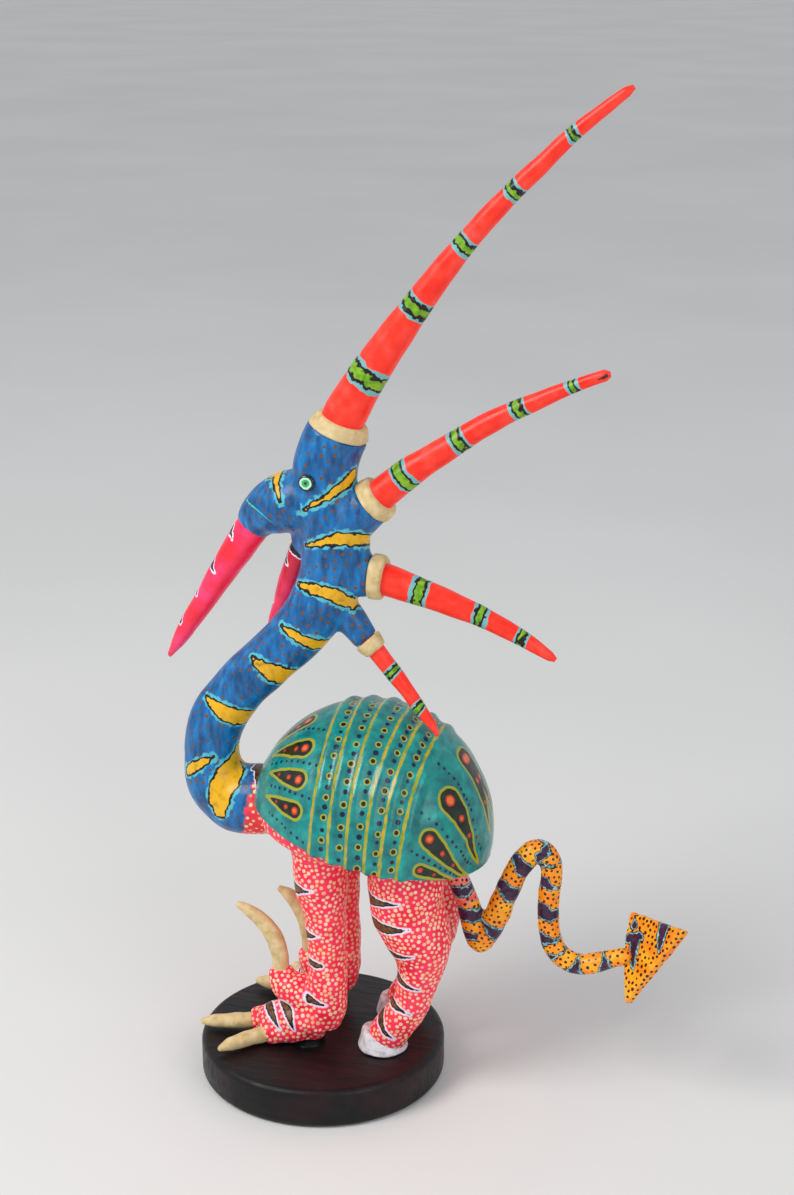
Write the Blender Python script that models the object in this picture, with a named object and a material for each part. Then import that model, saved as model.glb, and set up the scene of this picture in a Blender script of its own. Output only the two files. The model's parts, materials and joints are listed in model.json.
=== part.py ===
# Alebrije: a painted papier-mache creature with four horns, a ridged shell and a zigzag
# tail, standing on a round wooden base. Metres, +Z up. The creature faces -X and its left
# side is -Y. The origin is the centre of the base's underside.

import math

import bmesh
import bpy
from mathutils import Matrix, Vector

# --- Driving dimensions, metres ---------------------------------------------------------

GAP = 0.0003                 # clearance between pieces that are glued together

BASE_RADIUS = 0.0486
BASE_HEIGHT = 0.016
BASE_ROUND = 0.0028          # rounded upper and lower edges of the base
MID_Y = 0.006                # the creature's middle plane, off the base's centre

BODY_HEIGHT = 0.090          # centre of the shell above the base
BODY_BACK = 0.019            # centre of the shell behind the base's centre
BODY_TILT = math.radians(4.5)

SHELL_LENGTH = 0.0955
SHELL_WIDTH = 0.084
SHELL_HEIGHT = 0.0985
SHELL_WALL = 0.0032
RIM_SLOPE = math.radians(13)  # the shell's lower edge falls towards the tail
RIDGE_FIRST = -0.0116        # first raised band, along the shell's axis
RIDGE_PITCH = 0.00725
RIDGE_COUNT = 6
RIDGE_HEIGHT = 0.0009
BELLY_DEPTH = 0.010          # how far the torso bulges below the shell's centre

LEG_SPREAD = 0.0155          # each leg's centre line from the middle plane
THIGH_CLEARANCE = 0.0006     # from each thigh to the middle plane

# The right limbs aren't quite the left ones mirrored: reach shortens along X, shift moves
# along X, lean moves by height, and drop lowers.
RIGHT_FRONT_LEG = {"shift": -0.0035}
RIGHT_FOOT = {"shift": -0.001, "reach": 0.75}
RIGHT_SPUR = {"shift": -0.001, "reach": 0.75, "drop": 0.0065}
RIGHT_REAR_LEG = {"lean": -0.065}

HEAD_FORWARD = 0.026         # top of the neck ahead of the shell's centre
HEAD_RISE = 0.0288           # top of the neck above the top of the shell

WIRE_RADIUS = 0.0014         # armature wire
WIRE_IN_BASE = 0.011         # depth of the leg wires' ends in the base
COLLAR_LENGTH = 0.0052
PEG_STEP = 0.0005            # over which a piece narrows to its peg
EYE_RADIUS = 0.0032
EYE_PROUD = 0.0009
EYE_SUNK = 0.0022            # depth of the recess that an eye is glued in
ARROW_THICKNESS = 0.0042

STAND = Vector((0.0, MID_Y, BASE_HEIGHT))
BODY = STAND + Vector((BODY_BACK, 0.0, BODY_HEIGHT))
SHELL_FRONT = BODY - Vector((SHELL_LENGTH / 2, 0.0, 0.0))
HEAD = BODY + Vector((-HEAD_FORWARD, -0.002, SHELL_HEIGHT / 2 + HEAD_RISE))

LEFT, RIGHT = -1, 1          # the sign of a side's offset along Y


# --- Materials --------------------------------------------------------------------------

def paint(name, colour, roughness=0.45):
    """A plain Principled material, colour in linear RGB."""
    material = bpy.data.materials.new(name)
    material.use_nodes = True
    shader = material.node_tree.nodes["Principled BSDF"]
    shader.inputs["Base Color"].default_value = (*colour, 1.0)
    shader.inputs["Roughness"].default_value = roughness
    shader.inputs["Metallic"].default_value = 1.0 if name == "armature_wire" else 0.0
    return material


def make_paints():
    return {
        "black_base": paint("black_base", (0.012, 0.011, 0.012), 0.4),
        "pink": paint("pink", (0.85, 0.06, 0.09), 0.5),
        "blue": paint("blue", (0.03, 0.13, 0.36), 0.45),
        "teal": paint("teal", (0.01, 0.26, 0.23), 0.2),
        "red": paint("red", (0.95, 0.06, 0.03), 0.4),
        "magenta": paint("magenta", (0.9, 0.03, 0.13), 0.4),
        "cream": paint("cream", (0.6, 0.45, 0.24), 0.6),
        "white": paint("white", (0.7, 0.7, 0.72), 0.6),
        "orange": paint("orange", (0.95, 0.36, 0.02), 0.45),
        "mint": paint("mint", (0.25, 0.75, 0.45), 0.3),
        "wire": paint("armature_wire", (0.3, 0.3, 0.3), 0.45),
    }


# --- Helpers ----------------------------------------------------------------------------

def add_object(name, mesh):
    obj = bpy.data.objects.new(name, mesh)
    bpy.context.collection.objects.link(obj)
    return obj


def from_bmesh(name, bm):
    mesh = bpy.data.meshes.new(name)
    bm.normal_update()
    bm.to_mesh(mesh)
    bm.free()
    return add_object(name, mesh)


def tube(name, anchor, stations, sides=10, grow=0.0, steps=2):
    """A round limb through (x, y, z, radius) stations measured from an anchor.

    With grow it is the space that the limb needs: wider and longer all round.
    """
    points = [anchor + Vector(s[:3]) for s in stations]
    radii = [s[3] + grow for s in stations]
    points[0] += (points[0] - points[1]).normalized() * grow
    points[-1] += (points[-1] - points[-2]).normalized() * grow
    curve = bpy.data.curves.new(name, "CURVE")
    curve.dimensions = "3D"
    curve.bevel_depth = 1.0
    curve.bevel_resolution = (sides - 4) // 2
    curve.use_fill_caps = True
    curve.resolution_u = steps
    spline = curve.splines.new("BEZIER")
    spline.bezier_points.add(len(points) - 1)
    for knot, point, radius in zip(spline.bezier_points, points, radii):
        knot.co = point
        knot.radius = radius
        knot.handle_left_type = knot.handle_right_type = "AUTO"
    guide = bpy.data.objects.new(name + "_curve", curve)
    bpy.context.collection.objects.link(guide)
    depsgraph = bpy.context.evaluated_depsgraph_get()
    mesh = bpy.data.meshes.new_from_object(guide.evaluated_get(depsgraph))
    bpy.data.objects.remove(guide)
    obj = add_object(name, mesh)
    mend_closed(obj)
    return obj


def mend_closed(obj):
    """Weld a tube's caps to its wall and turn its faces outwards."""
    bm = bmesh.new()
    bm.from_mesh(obj.data)
    bmesh.ops.remove_doubles(bm, verts=bm.verts, dist=1e-6)
    bmesh.ops.recalc_face_normals(bm, faces=bm.faces)
    bm.to_mesh(obj.data)
    bm.free()


def guide_only(*objects):
    for obj in objects:
        obj.hide_render = True
        obj.display_type = "WIRE"


def boolean(target, operation, tools):
    for tool in tools:
        guide_only(tool)
        modifier = target.modifiers.new(operation.lower() + "_" + tool.name, "BOOLEAN")
        modifier.operation = operation
        modifier.solver = "EXACT"
        modifier.object = tool


def cut(target, *tools):
    boolean(target, "DIFFERENCE", tools)


def join(target, *tools):
    boolean(target, "UNION", tools)


def finish(obj, material, sharp_angle=50):
    obj.data.materials.clear()
    obj.data.materials.append(material)
    obj.data.shade_smooth()
    obj.data.set_sharp_from_angle(angle=math.radians(sharp_angle))
    return obj


def on_side(stations, side, right):
    """The same limb on the left or, as the maker set it, on the right."""
    if side == LEFT:
        return [(x, -y, z, *rest) for x, y, z, *rest in stations]
    reach, shift = right.get("reach", 1.0), right.get("shift", 0.0)
    lean, drop = right.get("lean", 0.0), right.get("drop", 0.0)
    return [(x * reach + shift + lean * z, y, z - drop, *rest) for x, y, z, *rest in stations]


def with_peg(stations, radius, length):
    """Adds the thinner peg that a piece is glued in by, in line with its first stretch."""
    root, second = Vector(stations[0][:3]), Vector(stations[1][:3])
    way = (root - second).normalized()
    return [(*(root + way * length), radius), (*(root + way * PEG_STEP), radius)] + stations


def ellipsoid(name, length, width, height, rings=14, steps=28, ridge=None, belly=None):
    """A half profile spun about the body's axis, then flattened, tilted and placed.

    ridge(u) raises the profile; belly sets how far the lower half reaches down.
    """
    bm = bmesh.new()
    profile = []
    for i in range(rings + 1):
        angle = math.pi * i / rings
        u, radius = -math.cos(angle) * length / 2, math.sin(angle)
        lift = ridge(u) / (height / 2) if ridge else 0.0
        profile.append(bm.verts.new((u, 0.0, radius + lift if 0 < i < rings else 0.0)))
    edges = [bm.edges.new(pair) for pair in zip(profile, profile[1:])]
    bmesh.ops.spin(bm, geom=profile + edges, axis=(1, 0, 0), cent=(0, 0, 0),
                   angle=math.tau, steps=steps, use_merge=True)
    bmesh.ops.remove_doubles(bm, verts=bm.verts, dist=1e-5)
    bmesh.ops.scale(bm, vec=(1.0, width / 2, height / 2), verts=bm.verts)
    if belly:
        lower = [v for v in bm.verts if v.co.z < 0]
        bmesh.ops.scale(bm, vec=(1.0, 1.0, belly / (height / 2)), verts=lower)
    bmesh.ops.recalc_face_normals(bm, faces=bm.faces)
    place = Matrix.Translation(BODY) @ Matrix.Rotation(BODY_TILT, 4, "Y")
    bmesh.ops.transform(bm, matrix=place, verts=bm.verts)
    return from_bmesh(name, bm)


def box(name, size, place):
    bm = bmesh.new()
    bmesh.ops.create_cube(bm, size=1.0)
    bmesh.ops.scale(bm, vec=size, verts=bm.verts)
    bmesh.ops.transform(bm, matrix=place, verts=bm.verts)
    return from_bmesh(name, bm)


# --- Armature wires ---------------------------------------------------------------------

NECK_WIRE = ([(0.0238, -0.002, 0.008), (0.0098, -0.003, 0.006), (-0.0043, -0.003, 0.007),
              (-0.0128, -0.003, 0.0125), (-0.0168, -0.003, 0.0245), (-0.0143, -0.003, 0.038)],
             [(-0.0283, -0.001, -0.0276), (-0.0167, -0.001, -0.0158),
              (-0.0075, -0.0005, -0.0074), (0.0, 0.0, 0.001), (0.006, 0.001, 0.010)])
TAIL_WIRE = [(0.0215, 0.0, 0.0), (0.0285, 0.0, -0.0065), (0.0323, 0.0, -0.0135),
             (0.0353, 0.0, -0.0215), (0.0389, 0.0, -0.0310), (0.0409, 0.0, -0.0405),
             (0.0443, 0.0, -0.0462), (0.0484, 0.0, -0.0385), (0.0545, 0.0, -0.0225),
             (0.0605, 0.001, -0.0098), (0.0661, 0.002, -0.0055), (0.0703, 0.002, -0.0100),
             (0.0703, 0.001, -0.0230), (0.0710, 0.0, -0.0366), (0.0750, -0.001, -0.0455),
             (0.0828, -0.002, -0.0488), (0.0915, -0.0028, -0.0465), (0.0985, -0.0032, -0.0437)]
FRONT_WIRE = ([(-0.0167, 0.016, -0.0060), (-0.0161, 0.016, -0.0196)],
              [(0.0045, 0.016, 0.050), (0.0048, 0.016, 0.032), (0.0020, 0.016, 0.016),
               (0.0, 0.016, 0.006), (0.0, 0.016, -WIRE_IN_BASE)])
REAR_WIRE = ([(0.0180, LEG_SPREAD, -0.0060), (0.0184, LEG_SPREAD, -0.0241)],
             [(0.0415, 0.015, 0.050), (0.0425, 0.015, 0.040), (0.0405, 0.015, 0.027),
              (0.0360, 0.0147, 0.016), (0.0310, 0.014, 0.0075), (0.0295, 0.0137, 0.0),
              (0.0295, 0.0137, -WIRE_IN_BASE)])


def gather(groups, anchors, anchor):
    """Stations in groups that each have their own anchor, all measured from one."""
    stations = []
    for group, own in zip(groups, anchors):
        for station in group:
            stations.append((*(own - anchor + Vector(station[:3])), *station[3:]))
    return stations


def wire(name, anchor, points, grow=0.0):
    stations = [(*point, WIRE_RADIUS) for point in points]
    return tube(name, anchor, stations, sides=6, grow=grow)


def wire_routes():
    """Each wire's name, its anchor and its points."""
    routes = {
        "neck_wire": (BODY, gather(NECK_WIRE, (SHELL_FRONT, HEAD), BODY)),
        "tail_wire": (BODY, TAIL_WIRE),
    }
    for word, side in (("left", LEFT), ("right", RIGHT)):
        for limb, groups, right in (("front_leg", FRONT_WIRE, RIGHT_FRONT_LEG),
                                    ("rear_leg", REAR_WIRE, RIGHT_REAR_LEG)):
            points = on_side(gather(groups, (BODY, STAND), STAND), side, right)
            routes["%s_wire_%s" % (limb, word)] = (STAND, points)
    return routes


# --- Base -------------------------------------------------------------------------------

def make_base(paints, bores):
    bm = bmesh.new()
    bmesh.ops.create_cone(bm, cap_ends=True, segments=48, radius1=BASE_RADIUS,
                          radius2=BASE_RADIUS, depth=BASE_HEIGHT)
    bmesh.ops.translate(bm, vec=(0, 0, BASE_HEIGHT / 2), verts=bm.verts)
    rims = [e for e in bm.edges if abs(e.verts[0].co.z - e.verts[1].co.z) < 1e-6]
    bmesh.ops.bevel(bm, geom=rims, offset=BASE_ROUND, affect="EDGES", segments=2,
                    profile=0.5, material=-1)
    base = from_bmesh("base", bm)
    cut(base, *bores)
    return finish(base, paints["black_base"])


# --- Body -------------------------------------------------------------------------------

def ridges(u):
    """Raised bands across the shell: a crest at each band, a dip between two."""
    last = RIDGE_FIRST + RIDGE_PITCH * (RIDGE_COUNT - 1)
    if u < RIDGE_FIRST - RIDGE_PITCH / 2 or u > last + RIDGE_PITCH / 2:
        return 0.0
    return RIDGE_HEIGHT * 0.5 * (1 + math.cos(math.tau * (u - RIDGE_FIRST) / RIDGE_PITCH))


def rim_place(drop=0.0):
    """The frame of the shell's lower edge, its Z square to the edge's plane."""
    return (Matrix.Translation(BODY + Vector((0, 0, 0.0005 - drop)))
            @ Matrix.Rotation(RIM_SLOPE, 4, "Y"))


def below_rim(name, drop=0.0):
    """Everything under the shell's lower edge."""
    size = 2 * max(SHELL_LENGTH, SHELL_WIDTH, SHELL_HEIGHT)
    return box(name, (size, size, size), rim_place(drop) @ Matrix.Translation((0, 0, -size / 2)))


def make_torso(paints, bores):
    inset = 2 * (SHELL_WALL + GAP)
    torso = ellipsoid("torso", SHELL_LENGTH - inset, SHELL_WIDTH - inset,
                      SHELL_HEIGHT - inset, belly=BELLY_DEPTH)
    cut(torso, *bores)
    return finish(torso, paints["pink"])


def make_shell(paints, neck_room):
    shell = ellipsoid("shell", SHELL_LENGTH, SHELL_WIDTH, SHELL_HEIGHT,
                      rings=46, steps=32, ridge=ridges)
    wall = 2 * SHELL_WALL
    hollow = ellipsoid("shell_hollow", SHELL_LENGTH - wall, SHELL_WIDTH - wall,
                       SHELL_HEIGHT - wall)
    cut(shell, hollow, below_rim("shell_rim_cut"), neck_room)
    return finish(shell, paints["teal"], 60)


def body_room():
    """The space that the torso and the shell fill, for what is glued against them."""
    inset = 2 * SHELL_WALL
    torso = ellipsoid("torso_room", SHELL_LENGTH - inset, SHELL_WIDTH - inset,
                      SHELL_HEIGHT - inset, belly=BELLY_DEPTH + GAP)
    grown = 2 * (GAP + RIDGE_HEIGHT)
    shell = ellipsoid("shell_room", SHELL_LENGTH + grown, SHELL_WIDTH + grown,
                      SHELL_HEIGHT + grown)
    cut(shell, below_rim("shell_room_cut", drop=GAP))
    return torso, shell


# --- Neck and head ----------------------------------------------------------------------

NECK_LOW = [(0.0178, -0.002, 0.008, 0.0122), (0.0038, -0.003, 0.006, 0.0142),
            (-0.0054, -0.003, 0.0060, 0.0143), (-0.0134, -0.003, 0.0118, 0.0126),
            (-0.0163, -0.003, 0.0243, 0.0108), (-0.0135, -0.003, 0.0380, 0.0108)]
NECK_HIGH = [(-0.0271, -0.001, -0.0278, 0.0105), (-0.0161, -0.001, -0.0158, 0.0105),
             (-0.0075, -0.0005, -0.0074, 0.0107), (0.0, 0.0, 0.001, 0.0110)]
COLUMN = [(-0.0030, -0.0002, -0.0024, 0.0104), (0.0, 0.0, 0.001, 0.0110),
          (0.0060, 0.001, 0.0102, 0.0118), (0.0102, 0.0018, 0.0201, 0.0125),
          (0.0126, 0.002, 0.0313, 0.0128), (0.0118, 0.002, 0.0422, 0.0127),
          (0.0088, 0.002, 0.0523, 0.0123), (0.0086, 0.002, 0.0619, 0.0122),
          (0.0106, 0.002, 0.0701, 0.0119), (0.0140, 0.002, 0.0781, 0.0117)]
BILL_ROOT = [(0.0060, 0.002, 0.0510, 0.0122), (-0.0056, 0.003, 0.0487, 0.0120),
             (-0.0129, 0.0035, 0.0453, 0.0106), (-0.0174, 0.004, 0.0420, 0.0087),
             (-0.0210, 0.0042, 0.0372, 0.0068)]
CHIN = [(0.0090, 0.002, 0.0390, 0.0100), (0.0030, 0.0045, 0.0350, 0.0080),
        (-0.0012, 0.0058, 0.0305, 0.0064)]
SOCKET_2 = [(0.0110, 0.002, 0.0385, 0.0095), (0.0175, 0.002, 0.0425, 0.0092),
            (0.0280, 0.002, 0.0518, 0.0086)]
SOCKET_3 = [(0.0090, 0.002, 0.0230, 0.0095), (0.0160, 0.002, 0.0228, 0.0089),
            (0.0262, 0.002, 0.0223, 0.0082)]
SOCKET_4 = [(0.0080, 0.0015, 0.0140, 0.0075), (0.0150, 0.0018, 0.0080, 0.0067),
            (0.0245, 0.0015, -0.0030, 0.0052)]

UPPER_BEAK = with_peg([(-0.0213, 0.0042, 0.0368, 0.0065), (-0.0263, 0.0050, 0.0294, 0.0064),
                       (-0.0337, 0.0062, 0.0184, 0.0054), (-0.0411, 0.0080, 0.0072, 0.0047),
                       (-0.0491, 0.0100, -0.0046, 0.0038), (-0.0558, 0.0116, -0.0149, 0.0026),
                       (-0.0600, 0.0128, -0.0214, 0.0011)], 0.0042, 0.006)
LOWER_BEAK = with_peg([(-0.0018, 0.0067, 0.0292, 0.0055), (-0.0071, 0.0100, 0.0155, 0.0054),
                       (-0.0123, 0.0130, 0.0028, 0.0046), (-0.0175, 0.0150, -0.0113, 0.0035),
                       (-0.0216, 0.0158, -0.0230, 0.0023), (-0.0249, 0.0160, -0.0332, 0.0009)],
                      0.0036, 0.007)

HORNS = [
    [(0.0130, 0.0020, 0.0755, 0.0082), (0.0172, 0.0020, 0.0850, 0.0081),
     (0.0246, 0.0020, 0.0976, 0.0073), (0.0348, 0.0020, 0.1128, 0.0063),
     (0.0436, 0.0020, 0.1250, 0.0054), (0.0516, 0.0020, 0.1360, 0.0047),
     (0.0603, 0.0020, 0.1470, 0.0041), (0.0690, 0.0020, 0.1569, 0.0038),
     (0.0778, 0.0020, 0.1663, 0.0035), (0.0887, 0.0020, 0.1770, 0.0031),
     (0.0982, 0.0020, 0.1863, 0.0027), (0.1084, 0.0020, 0.1947, 0.0023),
     (0.1160, 0.0020, 0.2006, 0.0018), (0.1184, 0.0020, 0.2023, 0.0009)],
    [(0.0215, 0.0020, 0.0463, 0.0063), (0.0285, 0.0020, 0.0527, 0.0063),
     (0.0380, 0.0020, 0.0610, 0.0058), (0.0490, 0.0020, 0.0692, 0.0050),
     (0.0592, 0.0020, 0.0763, 0.0045), (0.0710, 0.0020, 0.0841, 0.0041),
     (0.0810, 0.0020, 0.0895, 0.0036), (0.0907, 0.0020, 0.0942, 0.0030),
     (0.1004, 0.0020, 0.0987, 0.0025), (0.1118, 0.0020, 0.1034, 0.0022),
     (0.1136, 0.0020, 0.1039, 0.0012)],
    [(0.0190, 0.0020, 0.0226, 0.0063), (0.0262, 0.0020, 0.0222, 0.0063),
     (0.0322, 0.0020, 0.0211, 0.0061), (0.0442, 0.0020, 0.0179, 0.0053),
     (0.0563, 0.0020, 0.0140, 0.0047), (0.0680, 0.0020, 0.0101, 0.0040),
     (0.0831, 0.0020, 0.0033, 0.0031), (0.0945, 0.0020, -0.0032, 0.0019),
     (0.0968, 0.0020, -0.0045, 0.0009)],
    [(0.0195, 0.0016, 0.0028, 0.0032), (0.0245, 0.0015, -0.0030, 0.0034),
     (0.0289, 0.0010, -0.0077, 0.0034), (0.0351, -0.0005, -0.0142, 0.0032),
     (0.0410, -0.0020, -0.0203, 0.0029), (0.0463, -0.0040, -0.0262, 0.0025),
     (0.0515, -0.0060, -0.0315, 0.0018), (0.0545, -0.0075, -0.0353, 0.0007)],
]
# Each collar: where its socket ends, the way it points, and its radius at both ends.
COLLARS = [
    ((0.0137, 0.002, 0.0768), (0.0353, 0.0, 0.0936), 0.0117, 0.0100),
    ((0.0262, 0.002, 0.0505), (0.0105, 0.0, 0.0093), 0.0092, 0.0085),
    ((0.0262, 0.002, 0.0223), (0.0102, 0.0, -0.0008), 0.0088, 0.0084),
    ((0.0245, 0.0015, -0.0030), (0.0095, -0.0006, -0.0102), 0.0056, 0.0048),
]
EYE_AT = (0.0052, 0.0600)    # x and z of the eyes, from the head's anchor
EYE_REACH = 0.0125           # from the head's middle to an eye's back
TRIM = 0.024                 # side of the block that trims a socket's end


def make_neck(paints, torso_room, bore):
    stations = gather((NECK_LOW, NECK_HIGH), (SHELL_FRONT, HEAD), BODY)
    neck = tube("neck", BODY, stations, sides=12)
    room = tube("neck_room", BODY, stations, sides=12, grow=GAP)
    cut(neck, torso_room, bore)
    return finish(neck, paints["blue"]), room


def collar_blank(name, spec):
    """A short cone along a horn's first stretch, starting where the socket ends."""
    start, way, low, high = spec
    way = Vector(way).normalized()
    stations = [(*(Vector(start) + way * along), radius) for along, radius in
                ((GAP, low), (COLLAR_LENGTH * 0.5, (low + high) / 2 + 0.0004),
                 (COLLAR_LENGTH, high))]
    return tube(name, HEAD, stations, sides=12)


def socket_end(name, spec):
    """A block that trims a socket square where its collar begins."""
    start, way = Vector(spec[0]), Vector(spec[1]).normalized()
    turn = way.to_track_quat("Z", "Y").to_matrix().to_4x4()
    place = Matrix.Translation(HEAD + start) @ turn @ Matrix.Translation((0, 0, TRIM / 2))
    return box(name, (TRIM, TRIM, TRIM), place)


def make_horns(paints):
    rooms = []
    for number, (stations, collar) in enumerate(zip(HORNS, COLLARS), 1):
        horn = tube("horn_%d" % number, HEAD, stations)
        finish(horn, paints["red"])
        room = tube("horn_room_%d" % number, HEAD, stations, grow=GAP)
        ring = collar_blank("collar_%d" % number, collar)
        cut(ring, room)
        finish(ring, paints["cream"])
        rooms.append(room)
    return rooms


def eye_place(side):
    x, z = EYE_AT
    place = Matrix.Translation(HEAD + Vector((x, 0.002 + side * EYE_REACH, z)))
    return place @ Matrix.Rotation(-side * math.pi / 2, 4, "X")


def eye_disc(name, side, grow=0.0):
    """A flat paste button: its back in a shallow recess, its front a little domed."""
    bm = bmesh.new()
    radius = EYE_RADIUS + grow
    bmesh.ops.create_cone(bm, cap_ends=True, segments=20, radius1=radius, radius2=radius,
                          depth=EYE_SUNK + EYE_PROUD + grow)
    middle = (EYE_PROUD - EYE_SUNK - grow) / 2
    bmesh.ops.translate(bm, vec=(0, 0, middle), verts=bm.verts)
    if not grow:
        rim = [e for e in bm.edges if all(v.co.z > EYE_PROUD / 2 for v in e.verts)]
        bmesh.ops.bevel(bm, geom=rim, offset=EYE_PROUD * 0.7, affect="EDGES", segments=2,
                        profile=0.5, material=-1)
    bmesh.ops.transform(bm, matrix=eye_place(side), verts=bm.verts)
    return from_bmesh(name, bm)


def make_head(paints, neck_room, horn_rooms, bore):
    head = tube("head", HEAD, COLUMN, sides=12)
    join(head, tube("bill_root", HEAD, BILL_ROOT, sides=12), tube("chin", HEAD, CHIN),
         tube("socket_2", HEAD, SOCKET_2), tube("socket_3", HEAD, SOCKET_3),
         tube("socket_4", HEAD, SOCKET_4))
    rooms = [socket_end("socket_end_%d" % n, spec) for n, spec in enumerate(COLLARS, 1)]
    for name, stations in (("upper_beak", UPPER_BEAK), ("lower_beak", LOWER_BEAK)):
        finish(tube(name, HEAD, stations), paints["magenta"])
        rooms.append(tube(name + "_room", HEAD, stations, grow=GAP))
    for word, side in (("left", LEFT), ("right", RIGHT)):
        finish(eye_disc("eye_" + word, side), paints["mint"], 40)
        rooms.append(eye_disc("eye_room_" + word, side, grow=GAP))
    cut(head, neck_room, bore, *horn_rooms, *rooms)
    return finish(head, paints["blue"])


# --- Legs -------------------------------------------------------------------------------

FRONT_LEG_TOP = [(-0.0167, 0.016, -0.0010, 0.0113), (-0.0161, 0.016, -0.0196, 0.0106)]
FRONT_LEG_LOW = [(0.0042, 0.016, 0.0575, 0.0086), (0.0048, 0.016, 0.0440, 0.0075),
                 (0.0052, 0.016, 0.0300, 0.0077), (0.0045, 0.016, 0.0175, 0.0082),
                 (0.0030, 0.016, 0.0080, 0.0072)]
FOOT = [(0.0020, 0.016, 0.0120, 0.0090), (-0.0075, 0.0165, 0.0095, 0.0092),
        (-0.0160, 0.0165, 0.0070, 0.0078), (-0.0215, 0.0165, 0.0052, 0.0062)]
INNER_TOE = [(-0.0130, 0.0155, 0.0075, 0.0062), (-0.0200, 0.0145, 0.0060, 0.0055),
             (-0.0265, 0.0150, 0.0050, 0.0044)]
OUTER_TOE = [(-0.0060, 0.0185, 0.0070, 0.0068), (-0.0135, 0.0205, 0.0052, 0.0056),
             (-0.0190, 0.0228, 0.0040, 0.0044)]
SPUR_ROOT = [(0.0010, 0.016, 0.0200, 0.0072), (-0.0075, 0.0160, 0.0210, 0.0078),
             (-0.0130, 0.0155, 0.0245, 0.0062), (-0.0142, 0.0152, 0.0300, 0.0044)]

CLAW_PEG = (0.0021, 0.005)   # radius and length
INNER_CLAW = [(-0.0268, 0.0151, 0.0045, 0.0033), (-0.0340, 0.0165, 0.0040, 0.0032),
              (-0.0420, 0.0180, 0.0034, 0.0027), (-0.0474, 0.0190, 0.0030, 0.0011)]
OUTER_CLAW = [(-0.0192, 0.0232, 0.0040, 0.0034), (-0.0250, 0.0285, 0.0037, 0.0031),
              (-0.0300, 0.0335, 0.0032, 0.0026), (-0.0336, 0.0370, 0.0027, 0.0010)]
SICKLE_CLAW = [(-0.0143, 0.0152, 0.0304, 0.0034), (-0.0150, 0.0152, 0.0372, 0.0035),
               (-0.0179, 0.0152, 0.0447, 0.0035), (-0.0219, 0.0152, 0.0494, 0.0031),
               (-0.0268, 0.0152, 0.0531, 0.0026), (-0.0321, 0.0152, 0.0555, 0.0012)]

THIGH = LEG_SPREAD - THIGH_CLEARANCE
REAR_LEG_TOP = [(0.0172, LEG_SPREAD, -0.0025, THIGH * 0.93), (0.0178, LEG_SPREAD, -0.0160, THIGH),
                (0.0186, LEG_SPREAD, -0.0280, THIGH * 0.95)]
REAR_LEG_LOW = [(0.0412, 0.0152, 0.0525, 0.0132), (0.0428, 0.015, 0.0462, 0.0119),
                (0.0427, 0.015, 0.0400, 0.0098), (0.0415, 0.015, 0.0333, 0.0082),
                (0.0403, 0.015, 0.0270, 0.0076), (0.0382, 0.0149, 0.0206, 0.0074),
                (0.0345, 0.0146, 0.0143, 0.0076), (0.0305, 0.0140, 0.0085, 0.0080),
                (0.0285, 0.0137, 0.0045, 0.0076)]
HOOF_AT = (0.0270, 0.0135)
HOOF_RADIUS = 0.0102
HOOF_HEIGHT = 0.0082
HOOF_TAPER = 0.78            # its top edge's radius over its lower edge's
HOOF_SLOPE = math.radians(14)  # the hoof's top falls towards the heel


def leg_stations(top, low, side, right):
    return on_side(gather((top, low), (BODY, STAND), STAND), side, right)


def on_base_trim():
    """Everything lower than the base's top, less a clearance."""
    size = 4 * BASE_RADIUS
    return box("base_room", (size, size, size),
               Matrix.Translation((0, 0, BASE_HEIGHT + GAP - size / 2)))


def make_front_leg(paints, word, side, body_rooms, bore, floor):
    leg = tube("front_leg_" + word, STAND,
               leg_stations(FRONT_LEG_TOP, FRONT_LEG_LOW, side, RIGHT_FRONT_LEG), sides=12)
    for name, part, right in (("foot", FOOT, RIGHT_FOOT), ("inner_toe", INNER_TOE, RIGHT_FOOT),
                              ("outer_toe", OUTER_TOE, RIGHT_FOOT),
                              ("spur_root", SPUR_ROOT, RIGHT_SPUR)):
        join(leg, tube("%s_%s" % (name, word), STAND, on_side(part, side, right)))
    rooms = []
    for name, part, right in (("inner_claw", INNER_CLAW, RIGHT_FOOT),
                              ("outer_claw", OUTER_CLAW, RIGHT_FOOT),
                              ("sickle_claw", SICKLE_CLAW, RIGHT_SPUR)):
        stations = with_peg(on_side(part, side, right), *CLAW_PEG)
        claw = tube("%s_%s" % (name, word), STAND, stations, sides=8)
        cut(claw, floor)
        finish(claw, paints["cream"])
        rooms.append(tube("%s_room_%s" % (name, word), STAND, stations, sides=8, grow=GAP))
    cut(leg, *body_rooms, floor, bore, *rooms)
    return finish(leg, paints["pink"])


def hoof_blank(name, side, grow=0.0):
    bm = bmesh.new()
    bmesh.ops.create_cone(bm, cap_ends=True, segments=28, radius1=HOOF_RADIUS + grow,
                          radius2=HOOF_RADIUS * HOOF_TAPER + grow, depth=HOOF_HEIGHT + grow)
    bmesh.ops.translate(bm, vec=(0, 0, (HOOF_HEIGHT + grow) / 2), verts=bm.verts)
    for vert in bm.verts:
        if vert.co.z > HOOF_HEIGHT / 2:
            vert.co.z -= math.tan(HOOF_SLOPE) * (vert.co.x + HOOF_RADIUS * HOOF_TAPER)
    x, y, _ = on_side([(*HOOF_AT, 0.0)], side, RIGHT_REAR_LEG)[0]
    bmesh.ops.translate(bm, vec=STAND + Vector((x, y, GAP - grow)), verts=bm.verts)
    return from_bmesh(name, bm)


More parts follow.
